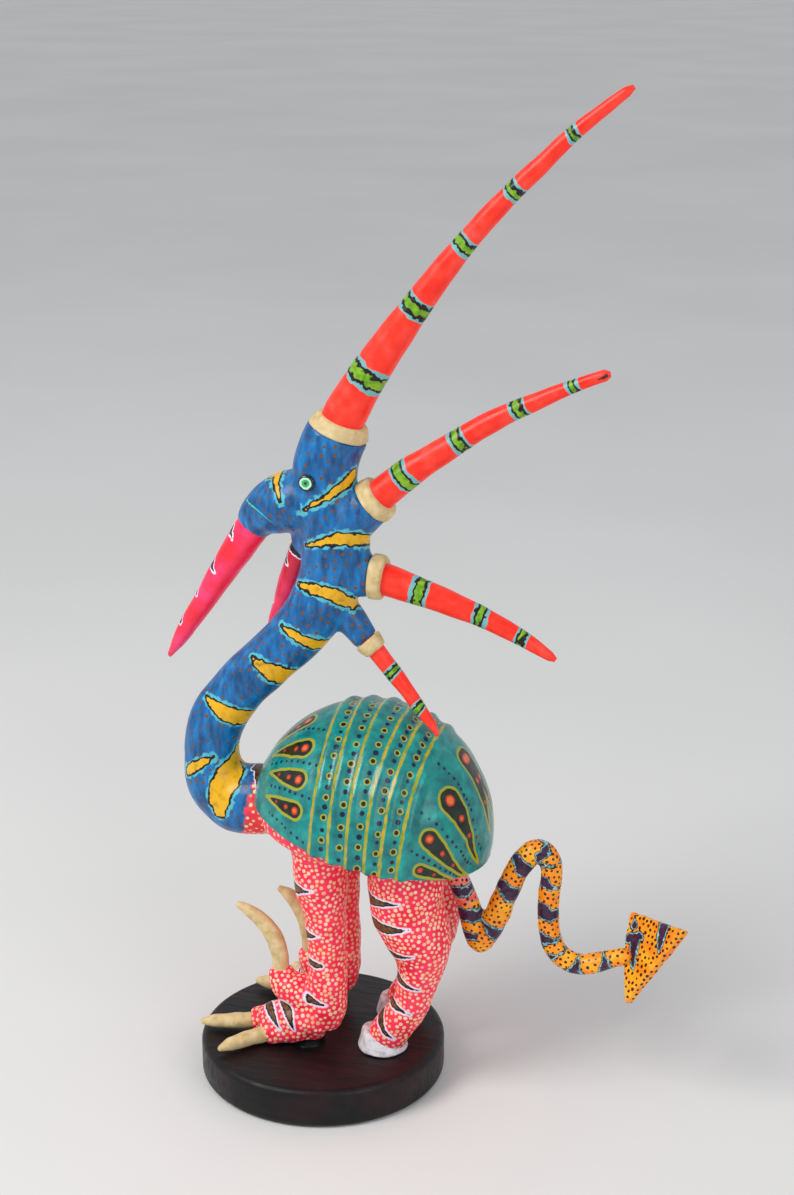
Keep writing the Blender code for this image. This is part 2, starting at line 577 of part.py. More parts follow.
def make_rear_leg(paints, word, side, body_rooms, bore, floor):
    leg = tube("rear_leg_" + word, STAND,
               leg_stations(REAR_LEG_TOP, REAR_LEG_LOW, side, RIGHT_REAR_LEG), sides=12)
    hoof = hoof_blank("hoof_" + word, side)
    cut(hoof, bore)
    finish(hoof, paints["white"])
    cut(leg, *body_rooms, floor, bore, hoof_blank("hoof_room_" + word, side, grow=GAP))
    return finish(leg, paints["pink"])


# --- Tail -------------------------------------------------------------------------------

# The tail is bent sharply once, so it is two lengths that meet in that bend.
TAIL_ROOT = [(0.0220, 0.0, -0.0010, 0.0040), (0.0285, 0.0, -0.0075, 0.0043),
             (0.0323, 0.0, -0.0135, 0.0043), (0.0352, 0.0, -0.0212, 0.0043),
             (0.0390, 0.0, -0.0310, 0.0046), (0.0414, 0.0, -0.0405, 0.0049),
             (0.0438, 0.0, -0.0462, 0.0048)]
TAIL_END = [(0.0437, 0.0, -0.0461, 0.0047), (0.0481, 0.0, -0.0385, 0.0050),
            (0.0544, 0.0, -0.0220, 0.0048), (0.0603, 0.001, -0.0094, 0.0046),
            (0.0661, 0.002, -0.0052, 0.0045), (0.0704, 0.002, -0.0098, 0.0043),
            (0.0703, 0.001, -0.0230, 0.0042), (0.0709, 0.0, -0.0366, 0.0042),
            (0.0747, -0.001, -0.0457, 0.0043), (0.0828, -0.002, -0.0492, 0.0042),
            (0.0915, -0.0028, -0.0468, 0.0039), (0.0975, -0.0032, -0.0441, 0.0036),
            (0.1012, -0.0028, -0.0430, 0.0035)]
# The arrowhead's corners: notch, barb, tip, barb, notch. The tail ends in its notch.
ARROW = [(0.0992, 0.0030, -0.0385), (0.1020, 0.0100, -0.0305), (0.1250, -0.0095, -0.0258),
         (0.1040, -0.0120, -0.0585), (0.0998, -0.0060, -0.0480)]
ARROW_ROUND = 0.0009


def arrow_plane():
    """The flat of the arrowhead: a point on it and the direction across it."""
    barb, tip, other = (Vector(ARROW[i]) for i in (1, 2, 3))
    return barb, (tip - barb).cross(other - barb).normalized()


def make_tail(paints, body_rooms, wire_bore):
    tail = tube("tail", BODY, TAIL_ROOT)
    join(tail, tube("tail_end", BODY, TAIL_END))
    cut(tail, *body_rooms, wire_bore)
    finish(tail, paints["orange"])

    point, normal = arrow_plane()
    bm = bmesh.new()
    corners = []
    for corner in ARROW:
        flat = Vector(corner) - normal * (Vector(corner) - point).dot(normal)
        corners.append(bm.verts.new(BODY + flat - normal * ARROW_THICKNESS / 2))
    face = bm.faces.new(corners)
    side = bmesh.ops.extrude_face_region(bm, geom=[face])
    top = [item for item in side["geom"] if isinstance(item, bmesh.types.BMVert)]
    bmesh.ops.translate(bm, vec=normal * ARROW_THICKNESS, verts=top)
    bmesh.ops.recalc_face_normals(bm, faces=bm.faces)
    bmesh.ops.bevel(bm, geom=list(bm.edges), offset=ARROW_ROUND, affect="EDGES", segments=2,
                    profile=0.5, material=-1)
    arrow = from_bmesh("tail_arrow", bm)
    cut(arrow, tube("tail_room", BODY, TAIL_END, grow=GAP), wire_bore)
    return finish(arrow, paints["orange"], 40)


# --- Assembly ---------------------------------------------------------------------------

def main():
    for obj in list(bpy.data.objects):
        bpy.data.objects.remove(obj)
    paints = make_paints()

    bores = {}
    for name, (anchor, points) in wire_routes().items():
        finish(wire(name, anchor, points), paints["wire"])
        bores[name] = wire(name + "_bore", anchor, points, grow=GAP)
    leg_bores = [bore for name, bore in bores.items() if "leg" in name]

    make_base(paints, leg_bores)
    make_torso(paints, list(bores.values()))
    body_rooms = body_room()
    neck, neck_room = make_neck(paints, body_rooms[0], bores["neck_wire"])
    make_shell(paints, neck_room)
    horn_rooms = make_horns(paints)
    make_head(paints, neck_room, horn_rooms, bores["neck_wire"])

    floor = on_base_trim()
    for word, side in (("left", LEFT), ("right", RIGHT)):
        front_bore = bores["front_leg_wire_" + word]
        rear_bore = bores["rear_leg_wire_" + word]
        make_front_leg(paints, word, side, body_rooms, front_bore, floor)
        make_rear_leg(paints, word, side, body_rooms, rear_bore, floor)
    make_tail(paints, body_rooms, bores["tail_wire"])


main()
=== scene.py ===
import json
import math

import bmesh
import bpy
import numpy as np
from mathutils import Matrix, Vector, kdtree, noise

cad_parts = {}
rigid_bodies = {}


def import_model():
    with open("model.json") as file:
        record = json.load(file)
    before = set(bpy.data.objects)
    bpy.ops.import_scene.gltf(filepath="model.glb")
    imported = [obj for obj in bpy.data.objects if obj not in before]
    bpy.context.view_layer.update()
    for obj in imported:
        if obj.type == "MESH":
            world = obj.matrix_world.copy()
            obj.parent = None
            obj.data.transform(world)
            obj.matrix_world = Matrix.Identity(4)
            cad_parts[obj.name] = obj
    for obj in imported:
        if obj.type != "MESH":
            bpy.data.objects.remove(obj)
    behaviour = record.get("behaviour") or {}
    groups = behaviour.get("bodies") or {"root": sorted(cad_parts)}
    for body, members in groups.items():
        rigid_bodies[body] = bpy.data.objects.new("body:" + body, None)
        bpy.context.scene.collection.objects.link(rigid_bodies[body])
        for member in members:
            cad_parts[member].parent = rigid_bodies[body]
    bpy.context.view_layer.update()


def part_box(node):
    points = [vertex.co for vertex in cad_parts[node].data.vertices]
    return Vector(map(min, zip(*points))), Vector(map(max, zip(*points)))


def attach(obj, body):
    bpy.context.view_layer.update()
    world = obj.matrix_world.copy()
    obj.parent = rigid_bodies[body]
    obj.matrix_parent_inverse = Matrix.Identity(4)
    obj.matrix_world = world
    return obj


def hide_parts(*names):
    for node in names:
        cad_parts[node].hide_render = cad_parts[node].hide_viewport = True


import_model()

# %% [markdown]
# # An alebrije in papier-mache and paint
#
# An alebrije is a creature from its maker's fancy. Wire is bent to the pose, wrapped in
# crumpled paper, covered with pasted strips, and painted in colours that shout at each other.
# The solid model is already loaded above, with every piece in its true place. This lesson
# gives the same creature its hand-made surfaces: skins that flow from limb to limb, a ridged
# and varnished shell, and the brush marks that cover everything.

MM = 0.001
LEFT, RIGHT = -1, 1          # the sign of a side's offset along Y

stand = Vector((0.0, 0.006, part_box("base")[1][2]))
body = stand + Vector((0.019, 0.0, 0.090))
shell_size = Vector((0.0955, 0.084, 0.0985))
shell_front = body - Vector((shell_size.x / 2, 0.0, 0.0))
head = body + Vector((-0.026, -0.002, shell_size.z / 2 + 0.0288))
print("the creature stands at height %.1f mm, its shell's middle is at %.1f mm"
      % (stand.z / MM, body.z / MM))

# %% [markdown]
# ## The studio
#
# The figure stands on a pale floor that fades into a pale grey room. One broad light from the
# upper left models the round limbs, and a weaker one opposite keeps the shaded side readable.
# The camera looks down a little from the creature's left, with a long lens, so that the limbs
# keep their true proportions.

# %% Floor, lights and camera
def lay_floor():
    bm = bmesh.new()
    bmesh.ops.create_circle(bm, cap_ends=True, segments=96, radius=40.0)
    mesh = bpy.data.meshes.new("studio_floor")
    bm.to_mesh(mesh)
    bm.free()
    floor = bpy.data.objects.new("studio_floor", mesh)
    bpy.context.collection.objects.link(floor)
    return floor


def hang_light(name, place, aim, size, power, tint):
    lamp = bpy.data.lights.new(name, "AREA")
    lamp.shape = "DISK"
    lamp.size = size
    lamp.energy = power
    lamp.color = tint
    light = bpy.data.objects.new(name, lamp)
    light.location = place
    light.rotation_euler = (Vector(aim) - Vector(place)).to_track_quat("-Z", "Y").to_euler()
    bpy.context.collection.objects.link(light)


floor = lay_floor()
hang_light("window_light", (-0.75, -0.75, 1.15), (0, 0, 0.2), 0.8, 13.0, (1.0, 0.98, 0.95))
hang_light("room_light", (0.9, -0.7, 0.6), (0, 0, 0.18), 0.9, 3.2, (0.93, 0.96, 1.0))

lens = bpy.data.cameras.new("camera")
lens.sensor_fit = "VERTICAL"
lens.sensor_height = 36.0
lens.lens = 62.78
camera = bpy.data.objects.new("camera", lens)
camera.location = (0.2202, -0.7073, 0.4448)
camera.rotation_euler = (math.radians(71.57), 0.0, math.radians(15.0))
bpy.context.collection.objects.link(camera)
bpy.context.scene.camera = camera
bpy.context.scene.view_settings.view_transform = "Standard"
print("camera %.0f mm from the shell" % ((camera.location - body).length / MM))

# %% [markdown]
# ## Mixing paint
#
# Every finish here is a paint, so one small function adds a shader node with its settings and
# links, and the rest is painter's work. `brush_over` lays a colour wherever a painted mark
# reaches: a mark is a number in millimetres stored on the piece, negative inside the stroke.
# `unsteady` makes a mark's edge jagged, as a loaded brush on lumpy paper does.

# %% Colours, nodes and brushes
def linear(hex_colour):
    """An sRGB hex value as linear RGBA, which is what shader sockets hold."""
    parts = [int(hex_colour[i:i + 2], 16) / 255 for i in (1, 3, 5)]
    return [p / 12.92 if p <= 0.04045 else ((p + 0.055) / 1.055) ** 2.4 for p in parts] + [1.0]


def add(tree, kind, sockets=None, give=0, **settings):
    """One node with its settings and links; returns one of its outputs."""
    node = tree.nodes.new(kind)
    for key, value in settings.items():
        setattr(node, key, value)
    for key, value in (sockets or {}).items():
        if isinstance(value, bpy.types.NodeSocket):
            tree.links.new(value, node.inputs[key])
        else:
            node.inputs[key].default_value = value
    return node.outputs[give]


def open_pot(name, roughness, coat=0.0, coat_roughness=0.08):
    """A new paint: its material, node tree, shader and the piece's own coordinates."""
    material = bpy.data.materials.new(name)
    material.use_nodes = True
    tree = material.node_tree
    shader = tree.nodes["Principled BSDF"]
    shader.inputs["Roughness"].default_value = roughness
    shader.inputs["Specular IOR Level"].default_value = 0.3
    shader.inputs["Coat Weight"].default_value = coat
    shader.inputs["Coat Roughness"].default_value = coat_roughness
    place = add(tree, "ShaderNodeTexCoord", give="Object")
    return material, tree, shader, place


def mottled(tree, place, size_mm, *colours, detail=3.0, spread=(0.35, 0.65)):
    """Colours that drift into each other over patches of a size in millimetres."""
    drift = add(tree, "ShaderNodeTexNoise", {"Vector": place, "Scale": 1 / (size_mm * MM),
                                             "Detail": detail}, give="Fac")
    ramp = add(tree, "ShaderNodeValToRGB", {"Fac": drift}, give="Color")
    stops = ramp.node.color_ramp.elements
    while len(stops) < len(colours):
        stops.new(0.5)
    for i, (stop, colour) in enumerate(zip(stops, colours)):
        stop.position = spread[0] + (spread[1] - spread[0]) * i / (len(colours) - 1)
        stop.color = linear(colour)
    return ramp


def unsteady(tree, place, mark, size_mm, reach_mm, detail=2.0):
    """A mark whose edge wanders in and out by up to reach_mm, over lengths of size_mm."""
    shake = add(tree, "ShaderNodeTexNoise", {"Vector": place, "Scale": 1 / (size_mm * MM),
                                             "Detail": detail}, give="Fac")
    shake = add(tree, "ShaderNodeMapRange", {"Value": shake, "From Min": 0.3, "From Max": 0.7,
                                             "To Min": -reach_mm, "To Max": reach_mm})
    return add(tree, "ShaderNodeMath", {0: mark, 1: shake}, operation="ADD")


def brush_over(tree, under, over, mark, edge, soft=0.07):
    """Lays one colour over another wherever a mark is below an edge value."""
    cover = add(tree, "ShaderNodeMapRange", {"Value": mark, "From Min": edge - soft,
                                             "From Max": edge + soft, "To Min": 1.0,
                                             "To Max": 0.0}, interpolation_type="SMOOTHSTEP")
    over = over if isinstance(over, bpy.types.NodeSocket) else linear(over)
    return add(tree, "ShaderNodeMix", {0: cover, 6: under, 7: over}, give=2, data_type="RGBA")


def mark_on(tree, name):
    return add(tree, "ShaderNodeAttribute", attribute_name=name, give="Fac")


def lumpy(tree, shader, place, lump_mm, strength=0.3, grain_mm=0.7):
    """Pasted paper under paint: soft lumps, and a finer grain left by the brush."""
    lumps = add(tree, "ShaderNodeTexNoise", {"Vector": place, "Scale": 1 / (lump_mm * MM),
                                             "Detail": 3.0}, give="Fac")
    grain = add(tree, "ShaderNodeTexNoise", {"Vector": place, "Scale": 1 / (grain_mm * MM),
                                             "Detail": 2.0}, give="Fac")
    both = add(tree, "ShaderNodeMath", {0: grain, 1: 0.16, 2: lumps}, operation="MULTIPLY_ADD")
    bump = add(tree, "ShaderNodeBump", {"Strength": strength, "Distance": 0.9 * MM,
                                        "Height": both})
    tree.links.new(bump, shader.inputs["Normal"])


def wear_gloss(tree, shader, place, low, high, size_mm=6.0):
    """Varnish brushed on unevenly: roughness drifts between two values."""
    drift = add(tree, "ShaderNodeTexNoise", {"Vector": place, "Scale": 1 / (size_mm * MM),
                                             "Detail": 3.0}, give="Fac")
    rough = add(tree, "ShaderNodeMapRange", {"Value": drift, "From Min": 0.35, "From Max": 0.65,
                                             "To Min": low, "To Max": high})
    tree.links.new(rough, shader.inputs["Roughness"])


print("mixing table ready")

# %% [markdown]
# ## Limbs, and the skins that join them
#
# The maker wraps wire in paper, so every limb is a round sweep along a line that changes its
# thickness. Where limbs meet, more paste fills the corner. Here a limb is a bevelled curve
# with a radius at each knot, made a mesh. `paste_over` then joins limbs with a voxel remesh,
# rubs the corners round, and subdivides the result so that fine brush marks can sit on it.

# %% Sweeping a limb
def keep_mesh(name, mesh):
    piece = bpy.data.objects.new(name, mesh)
    bpy.context.collection.objects.link(piece)
    return piece


def keep_bmesh(name, bm):
    mesh = bpy.data.meshes.new(name)
    bm.to_mesh(mesh)
    bm.free()
    return keep_mesh(name, mesh)


def baked(piece):
    """The piece's mesh with its modifiers applied; the piece itself goes."""
    depsgraph = bpy.context.evaluated_depsgraph_get()
    mesh = bpy.data.meshes.new_from_object(piece.evaluated_get(depsgraph))
    bpy.data.objects.remove(piece)
    return mesh


def swept(name, stations, anchor, sides, steps):
    curve = bpy.data.curves.new(name, "CURVE")
    curve.dimensions = "3D"
    curve.resolution_u = steps
    if sides:
        curve.bevel_depth = 1.0
        curve.bevel_resolution = (sides - 4) // 2
        curve.use_fill_caps = True
    spline = curve.splines.new("BEZIER")
    spline.bezier_points.add(len(stations) - 1)
    for knot, (x, y, z, radius) in zip(spline.bezier_points, stations):
        knot.co = anchor + Vector((x, y, z))
        knot.radius = radius
        knot.handle_left_type = knot.handle_right_type = "AUTO"
    return baked(keep_mesh(name, curve))


def limb(name, stations, anchor, sides=24, steps=6):
    """A closed round limb through stations of x, y, z and radius, from an anchor."""
    bm = bmesh.new()
    bm.from_mesh(swept(name, stations, anchor, sides, steps))
    bmesh.ops.remove_doubles(bm, verts=bm.verts, dist=1e-6)
    bmesh.ops.recalc_face_normals(bm, faces=bm.faces)
    return keep_bmesh(name, bm)


def paste_over(name, limbs, voxel_mm=1.0, rubs=6):
    """Limbs joined under one skin, its corners rubbed round."""
    bm = bmesh.new()
    for part in limbs:
        bm.from_mesh(part.data)
        bpy.data.objects.remove(part)
    rough = keep_bmesh(name, bm)
    remesh = rough.modifiers.new("paste", "REMESH")
    remesh.mode = "VOXEL"
    remesh.voxel_size = voxel_mm * MM
    bm = bmesh.new()
    bm.from_mesh(baked(rough))
    for _ in range(rubs):
        bmesh.ops.smooth_vert(bm, verts=bm.verts, factor=0.5, use_axis_x=True,
                              use_axis_y=True, use_axis_z=True)
    skin = keep_bmesh(name, bm)
    finer = skin.modifiers.new("finer", "SUBSURF")
    finer.levels = finer.render_levels = 1
    return keep_mesh(name, baked(skin))


def hand_press(piece, size_mm, depth_mm, seed=0.0):
    """Moves the surface in and out a little, as fingers press wet paper."""
    normals = [v.normal.copy() for v in piece.data.vertices]
    for vert, normal in zip(piece.data.vertices, normals):
        push = noise.noise(vert.co / (size_mm * MM) + Vector((seed, 0, 0)))
        vert.co += normal * (push * depth_mm * MM)


def settle(piece, slot, material, *nodes):
    """Gives a piece its finish and its place in the frame."""
    piece.name = piece.data.name = "painted_" + piece.name.split(".")[0]
    piece.data.materials.clear()
    piece.data.materials.append(material)
    piece.data.shade_smooth()
    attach(piece, "root")
    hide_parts(*nodes)
    corners = [[c / MM for c in v.co] for v in piece.data.vertices]
    lows, highs = np.min(corners, axis=0), np.max(corners, axis=0)
    print("%-14s %6d faces, %5.1f x %5.1f x %5.1f mm"
          % ((piece.name, len(piece.data.polygons)) + tuple(highs - lows)))
    return piece


def on_side(stations, side, reach=1.0, shift=0.0, lean=0.0, drop=0.0):
    """The same limb on the left or, as the maker set it, on the right."""
    if side == LEFT:
        return [(x, -y, z, r) for x, y, z, r in stations]
    return [(x * reach + shift + lean * z, y, z - drop, r) for x, y, z, r in stations]


def from_anchor(stations, own, anchor):
    return [(*(own - anchor + Vector(s[:3])), s[3]) for s in stations]


# %% [markdown]
# ## Marks that follow a limb
#
# The painter works along and around a limb: so far from its root, so far round from its outer
# side. `Line` knows a limb's middle, and turns a distance along in millimetres and an angle
# around in degrees into a point on the surface. Angle 0 faces outwards from the creature's
# side, and 90 faces forwards on a leg and backwards on the neck. A stroke is a path of such
# points with a half width at each, and its mark is the distance to its edge.

# %% Surveying limbs and drawing strokes
class Line:
    """The middle of a limb, all in millimetres."""

    def __init__(self, stations, anchor, facing=LEFT, steps=16):
        mesh = swept("line", stations, anchor, 0, steps)
        self.points = np.array([v.co[:] for v in mesh.vertices]) / MM
        knots = np.arange(len(stations)) * steps
        self.radii = np.interp(np.arange(len(self.points)), knots,
                               [s[3] / MM for s in stations])
        hops = np.linalg.norm(np.diff(self.points, axis=0), axis=1)
        self.along = np.concatenate([[0.0], np.cumsum(hops)])
        ahead = np.gradient(self.points, axis=0)
        ahead /= np.linalg.norm(ahead, axis=1)[:, None]
        out = np.array([0.0, facing, 0.0]) - ahead * (ahead[:, 1:2] * facing)
        self.out = out / np.linalg.norm(out, axis=1)[:, None]
        self.turn = facing * np.cross(self.out, ahead)
        self.tree = kdtree.KDTree(len(self.points))
        for i, point in enumerate(self.points):
            self.tree.insert(point, i)
        self.tree.balance()

    def spot(self, along, angle):
        """The point on the surface at a distance along and an angle around."""
        def at(values):
            return np.array([np.interp(along, self.along, column) for column in values.T])
        radius = np.interp(along, self.along, self.radii)
        angle = math.radians(angle)
        return at(self.points) + radius * (math.cos(angle) * at(self.out)
                                           + math.sin(angle) * at(self.turn))

    def survey(self, places):
        """How far along and around the limb each place is."""
        nearest = np.array([self.tree.find(place)[1] for place in places])
        spoke = places - self.points[nearest]
        angle = np.arctan2(np.sum(spoke * self.turn[nearest], axis=1),
                           np.sum(spoke * self.out[nearest], axis=1))
        return self.along[nearest], np.degrees(angle)

    def path(self, marks, steps=4):
        """A stroke given as (along, angle, half width), followed round the surface."""
        marks = np.array(marks, dtype=float)
        at = np.linspace(0, len(marks) - 1, (len(marks) - 1) * steps + 1)
        fine = [np.interp(at, np.arange(len(marks)), column) for column in marks.T]
        return [(self.spot(along, angle), half) for along, angle, half in zip(*fine)]


def places_on(piece):
    return np.array([v.co[:] for v in piece.data.vertices]) / MM


def stroke(places, path):
    """Millimetres from each place to a stroke's edge, negative inside it."""
    best = np.full(len(places), 50.0)
    for (start, wide_start), (end, wide_end) in zip(path, path[1:]):
        way = end - start
        along = np.clip((places - start) @ way / max(way @ way, 1e-9), 0.0, 1.0)
        gap = np.linalg.norm(places - start - along[:, None] * way, axis=1)
        best = np.minimum(best, gap - wide_start - (wide_end - wide_start) * along)
    return best


def strokes(places, paths):
    return np.min([stroke(places, path) for path in paths], axis=0)


def sprinkle(places, spacing, seed, allowed):
    """Points about one spacing apart over the allowed part of a surface."""
    order = np.flatnonzero(allowed)
    np.random.default_rng(seed).shuffle(order)
    taken, chosen = {}, []
    around = [(a, b, c) for a in (-1, 0, 1) for b in (-1, 0, 1) for c in (-1, 0, 1)]
    for place in places[order].tolist():
        i, j, k = (int(c // spacing) for c in place)
        if all(math.dist(place, other) > spacing for a, b, c in around
               for other in taken.get((i + a, j + b, k + c), ())):
            taken.setdefault((i, j, k), []).append(place)
            chosen.append(place)
    return np.array(chosen)


def dotted(places, dots, radii):
    """Millimetres from each place to the edge of the nearest dot."""
    tree = kdtree.KDTree(len(dots))
    for i, dot in enumerate(dots):
        tree.insert(dot, i)
    tree.balance()
    return np.array([min(gap - radii[i] for _, i, gap in tree.find_n(place, 2))
                     for place in places])


def note(piece, name, values):
    """Stores a mark on the piece's points, for its paint to read."""
    layer = piece.data.attributes.new(name, "FLOAT", "POINT")
    layer.data.foreach_set("value", np.clip(values, -20, 20).astype(np.float32))


print("ready to draw")

# %% [markdown]
# ## Blue acrylic on pasted paper
#
# The neck and head are blue acrylic, brushed thin so that darker blue shows through, with paler
# streaks that are painted highlight as well as thin paint, and a satin varnish that catches the
# light along the top. Rust dots are scattered over it.
# Yellow patches wrap the neck like a wild cat's stripes, each with a ragged black outline and
# a ragged cyan halo. Where the neck enters the shell the blue gives way to dotted pink.

# %% The blue paint
def blue_acrylic():
    # Acrylic on paper: matt body colour under thin varnish, so soft broad highlights.
    material, tree, shader, place = open_pot("blue_acrylic_on_paper", 0.42, coat=0.25,
                                             coat_roughness=0.22)
    # The stretched noise gives paler streaks down the neck: painted highlight as well as brushwork.
    highlight_and_brush_streaks = add(tree, "ShaderNodeMapping", {"Vector": place, "Scale": (1.0, 1.0, 0.35)})
    blue = mottled(tree, highlight_and_brush_streaks, 3.0, "#08406E", "#0C5E9C", "#1276BA", "#3696CC",
                   detail=6.0, spread=(0.30, 0.78))
    pink = mottled(tree, place, 6.0, "#F02C4C", "#FF3E50", "#FF5A4A")
    dots = mark_on(tree, "dots")
    blue = brush_over(tree, blue, "#6E4A38", dots, 0.0, soft=0.16)
    pink = brush_over(tree, pink, "#FBE39A", dots, 0.0, soft=0.12)
    zone = unsteady(tree, place, mark_on(tree, "pink_zone"), 2.5, 0.8)
    colour = brush_over(tree, blue, pink, zone, 0.0, soft=0.6)
    patch = mark_on(tree, "patches")
    halo = unsteady(tree, place, patch, 2.4, 0.95, detail=3.5)
    outline = unsteady(tree, place, patch, 2.8, 0.6, detail=2.0)
    ochre = mottled(tree, place, 3.0, "#A88A10", "#DCA410", "#F0B414", spread=(0.25, 0.5))
    colour = brush_over(tree, colour, "#56BCCB", halo, 1.15, soft=0.4)
    colour = brush_over(tree, colour, "#170C14", outline, 0.3)
    colour = brush_over(tree, colour, ochre, outline, -0.55)
    fleck = unsteady(tree, place, mark_on(tree, "flecks"), 1.3, 0.3)
    brown = mottled(tree, place, 1.2, "#3A2008", "#6E4416")
    colour = brush_over(tree, colour, "#E9DDEE", fleck, 0.55, soft=0.12)
    colour = brush_over(tree, colour, "#1C0F12", fleck, 0.0)
    colour = brush_over(tree, colour, brown, fleck, -0.5)
    bill = unsteady(tree, place, mark_on(tree, "bill_line"), 2.0, 0.12)
    colour = brush_over(tree, colour, "#45CBB4", bill, 0.0, soft=0.12)
    tree.links.new(colour, shader.inputs["Base Color"])
    wear_gloss(tree, shader, place, 0.34, 0.5)
    lumpy(tree, shader, place, 4.5, strength=0.32)
    return material


# %% [markdown]
# ## Neck and head
#
# The neck leaves the shell low, bends up and back, and swells into a tall column that carries
# the bill, the chin and four horn sockets. Every one of these is a limb; one skin covers them.

# %% Neck and head limbs
NECK = (from_anchor([(0.0178, -0.002, 0.008, 0.0122), (0.0038, -0.003, 0.006, 0.0142),
                     (-0.0054, -0.003, 0.0060, 0.0143), (-0.0134, -0.003, 0.0118, 0.0126),
                     (-0.0163, -0.003, 0.0243, 0.0108), (-0.0135, -0.003, 0.0380, 0.0108)],
                    shell_front, head)
        + [(-0.0271, -0.001, -0.0278, 0.0105), (-0.0161, -0.001, -0.0158, 0.0105),
           (-0.0075, -0.0005, -0.0074, 0.0107), (0.0, 0.0, 0.001, 0.0110)])
COLUMN = [(-0.0030, -0.0002, -0.0024, 0.0104), (0.0, 0.0, 0.001, 0.0110),
          (0.0060, 0.001, 0.0102, 0.0118), (0.0102, 0.0018, 0.0201, 0.0125),
          (0.0126, 0.002, 0.0313, 0.0128), (0.0118, 0.002, 0.0422, 0.0127),
          (0.0088, 0.002, 0.0523, 0.0123), (0.0086, 0.002, 0.0619, 0.0122),
          (0.0106, 0.002, 0.0701, 0.0119), (0.0138, 0.002, 0.0772, 0.0117)]
BILL = [(0.0060, 0.002, 0.0510, 0.0122), (-0.0056, 0.003, 0.0487, 0.0120),
        (-0.0129, 0.0035, 0.0453, 0.0106), (-0.0174, 0.004, 0.0420, 0.0087),
        (-0.0210, 0.0042, 0.0372, 0.0068)]
CHIN = [(0.0090, 0.002, 0.0390, 0.0100), (0.0030, 0.0045, 0.0350, 0.0080),
        (-0.0012, 0.0058, 0.0305, 0.0064)]
SOCKETS = [[(0.0110, 0.002, 0.0385, 0.0095), (0.0175, 0.002, 0.0425, 0.0092),
            (0.0262, 0.002, 0.0505, 0.0087)],
           [(0.0090, 0.002, 0.0230, 0.0095), (0.0160, 0.002, 0.0228, 0.0089),
            (0.0262, 0.002, 0.0223, 0.0082)],
           [(0.0080, 0.0015, 0.0140, 0.0075), (0.0150, 0.0018, 0.0080, 0.0067),
            (0.0245, 0.0015, -0.0030, 0.0052)]]

neck_skin = paste_over("neck_and_head", [
    limb("neck_limb", NECK, head), limb("column_limb", COLUMN, head),
    limb("bill_limb", BILL, head), limb("chin_limb", CHIN, head)]
    + [limb("socket_limb_%d" % n, stations, head) for n, stations in enumerate(SOCKETS, 2)],
    voxel_mm=0.95, rubs=5)
hand_press(neck_skin, 11.0, 0.5)
print("one skin over seven limbs: %d faces" % len(neck_skin.data.polygons))

# %% [markdown]
# Each patch starts thin, swells and wraps round the back. The same strokes are laid on both
# sides, the far ones set off a little, so that no side is a mirror of the other.

# %% Patches, dots and the pink zone
NECK_PATCHES = [
    [(48.0, 92, 2.8), (42.0, 66, 4.4), (34.0, 38, 5.4), (28.5, 6, 4.6), (26.0, -12, 2.6)],
    [(48.2, 22, 0.8), (45.0, -6, 2.1), (41.4, -42, 1.9)],
    [(69.0, -46, 0.6), (69.6, -22, 2.0), (70.8, 20, 3.7), (71.8, 60, 4.1), (72.2, 95, 3.5)],
    [(94.8, -30, 0.6), (95.6, -6, 2.2), (97.2, 30, 4.1), (98.2, 62, 4.8), (98.6, 95, 4.0)],
]
HEAD_PATCHES = [
    [(2.4, -34, 0.6), (3.6, 4, 1.9), (4.8, 45, 2.5), (5.6, 90, 2.5)],
    [(21.6, -52, 0.7), (23.6, -20, 2.2), (24.9, 22, 2.7), (22.8, 60, 2.4), (21.9, 95, 2.0)],
    [(42.3, -44, 0.5), (44.6, -8, 1.6), (45.3, 24, 2.4), (43.4, 66, 2.4), (41.8, 95, 1.9)],
    [(56.5, -52, 0.5), (58.4, -16, 0.8), (61.2, 20, 1.3), (66.2, 50, 2.2), (70.1, 74, 2.7)],
]
BILL_PATCHES = [[(10.2, 14, 0.5), (11.4, 50, 1.5), (12.6, 96, 2.4)]]
BILL_LINE = [(23.8, 62, 0.28), (23.0, 44, 0.3), (19.6, 8, 0.28), (16.9, -27, 0.16)]
NECK_FLECKS = [[(14.6, 100, 1.5), (12.2, 60, 1.3), (11.0, 42, 1.2), (10.2, 9, 0.3)],
               [(9.2, -12, 0.4), (9.8, -40, 1.2), (10.6, -72, 1.7)]]

places = places_on(neck_skin)
patch_paths, fleck_paths, bill_paths = [], [], []
for facing, offset in ((LEFT, 0.0), (RIGHT, 1.2)):
    neck_line = Line(NECK, head, facing)
    column_line = Line(COLUMN, head, facing)
    bill_line = Line(BILL, head, facing)
    for line, marks in ((neck_line, NECK_PATCHES), (column_line, HEAD_PATCHES),
                        (bill_line, BILL_PATCHES)):
        patch_paths += [line.path([(a + offset, t, w) for a, t, w in mark]) for mark in marks]
    fleck_paths += [neck_line.path(mark) for mark in NECK_FLECKS]
    bill_paths.append(bill_line.path(BILL_LINE))
patches = strokes(places, patch_paths)
flecks = strokes(places, fleck_paths)
along, angle = neck_line.survey(places)
edge = np.interp(angle, [-180, -90, -38, 22, 60, 90, 180], [16, 22.5, 20.8, 17.0, 13, 12, 16])
pink_zone = np.clip(along - edge, -9, 9)
off_neck = np.linalg.norm(places - np.array(head) / MM, axis=1) < 20
pink_zone[off_neck] = 9.0
clear = (patches > 1.9) & (flecks > 1.0)
rust = sprinkle(places, 3.0, 5, clear & (pink_zone > 1.0))
rust = rust[np.random.default_rng(6).random(len(rust)) < 0.75]
cream = sprinkle(places, 2.1, 7, (flecks > 0.9) & (pink_zone < -0.5))
rng = np.random.default_rng(8)
dots = np.concatenate([rust, cream])
radii = np.concatenate([rng.uniform(0.45, 0.85, len(rust)), rng.uniform(0.5, 0.8, len(cream))])
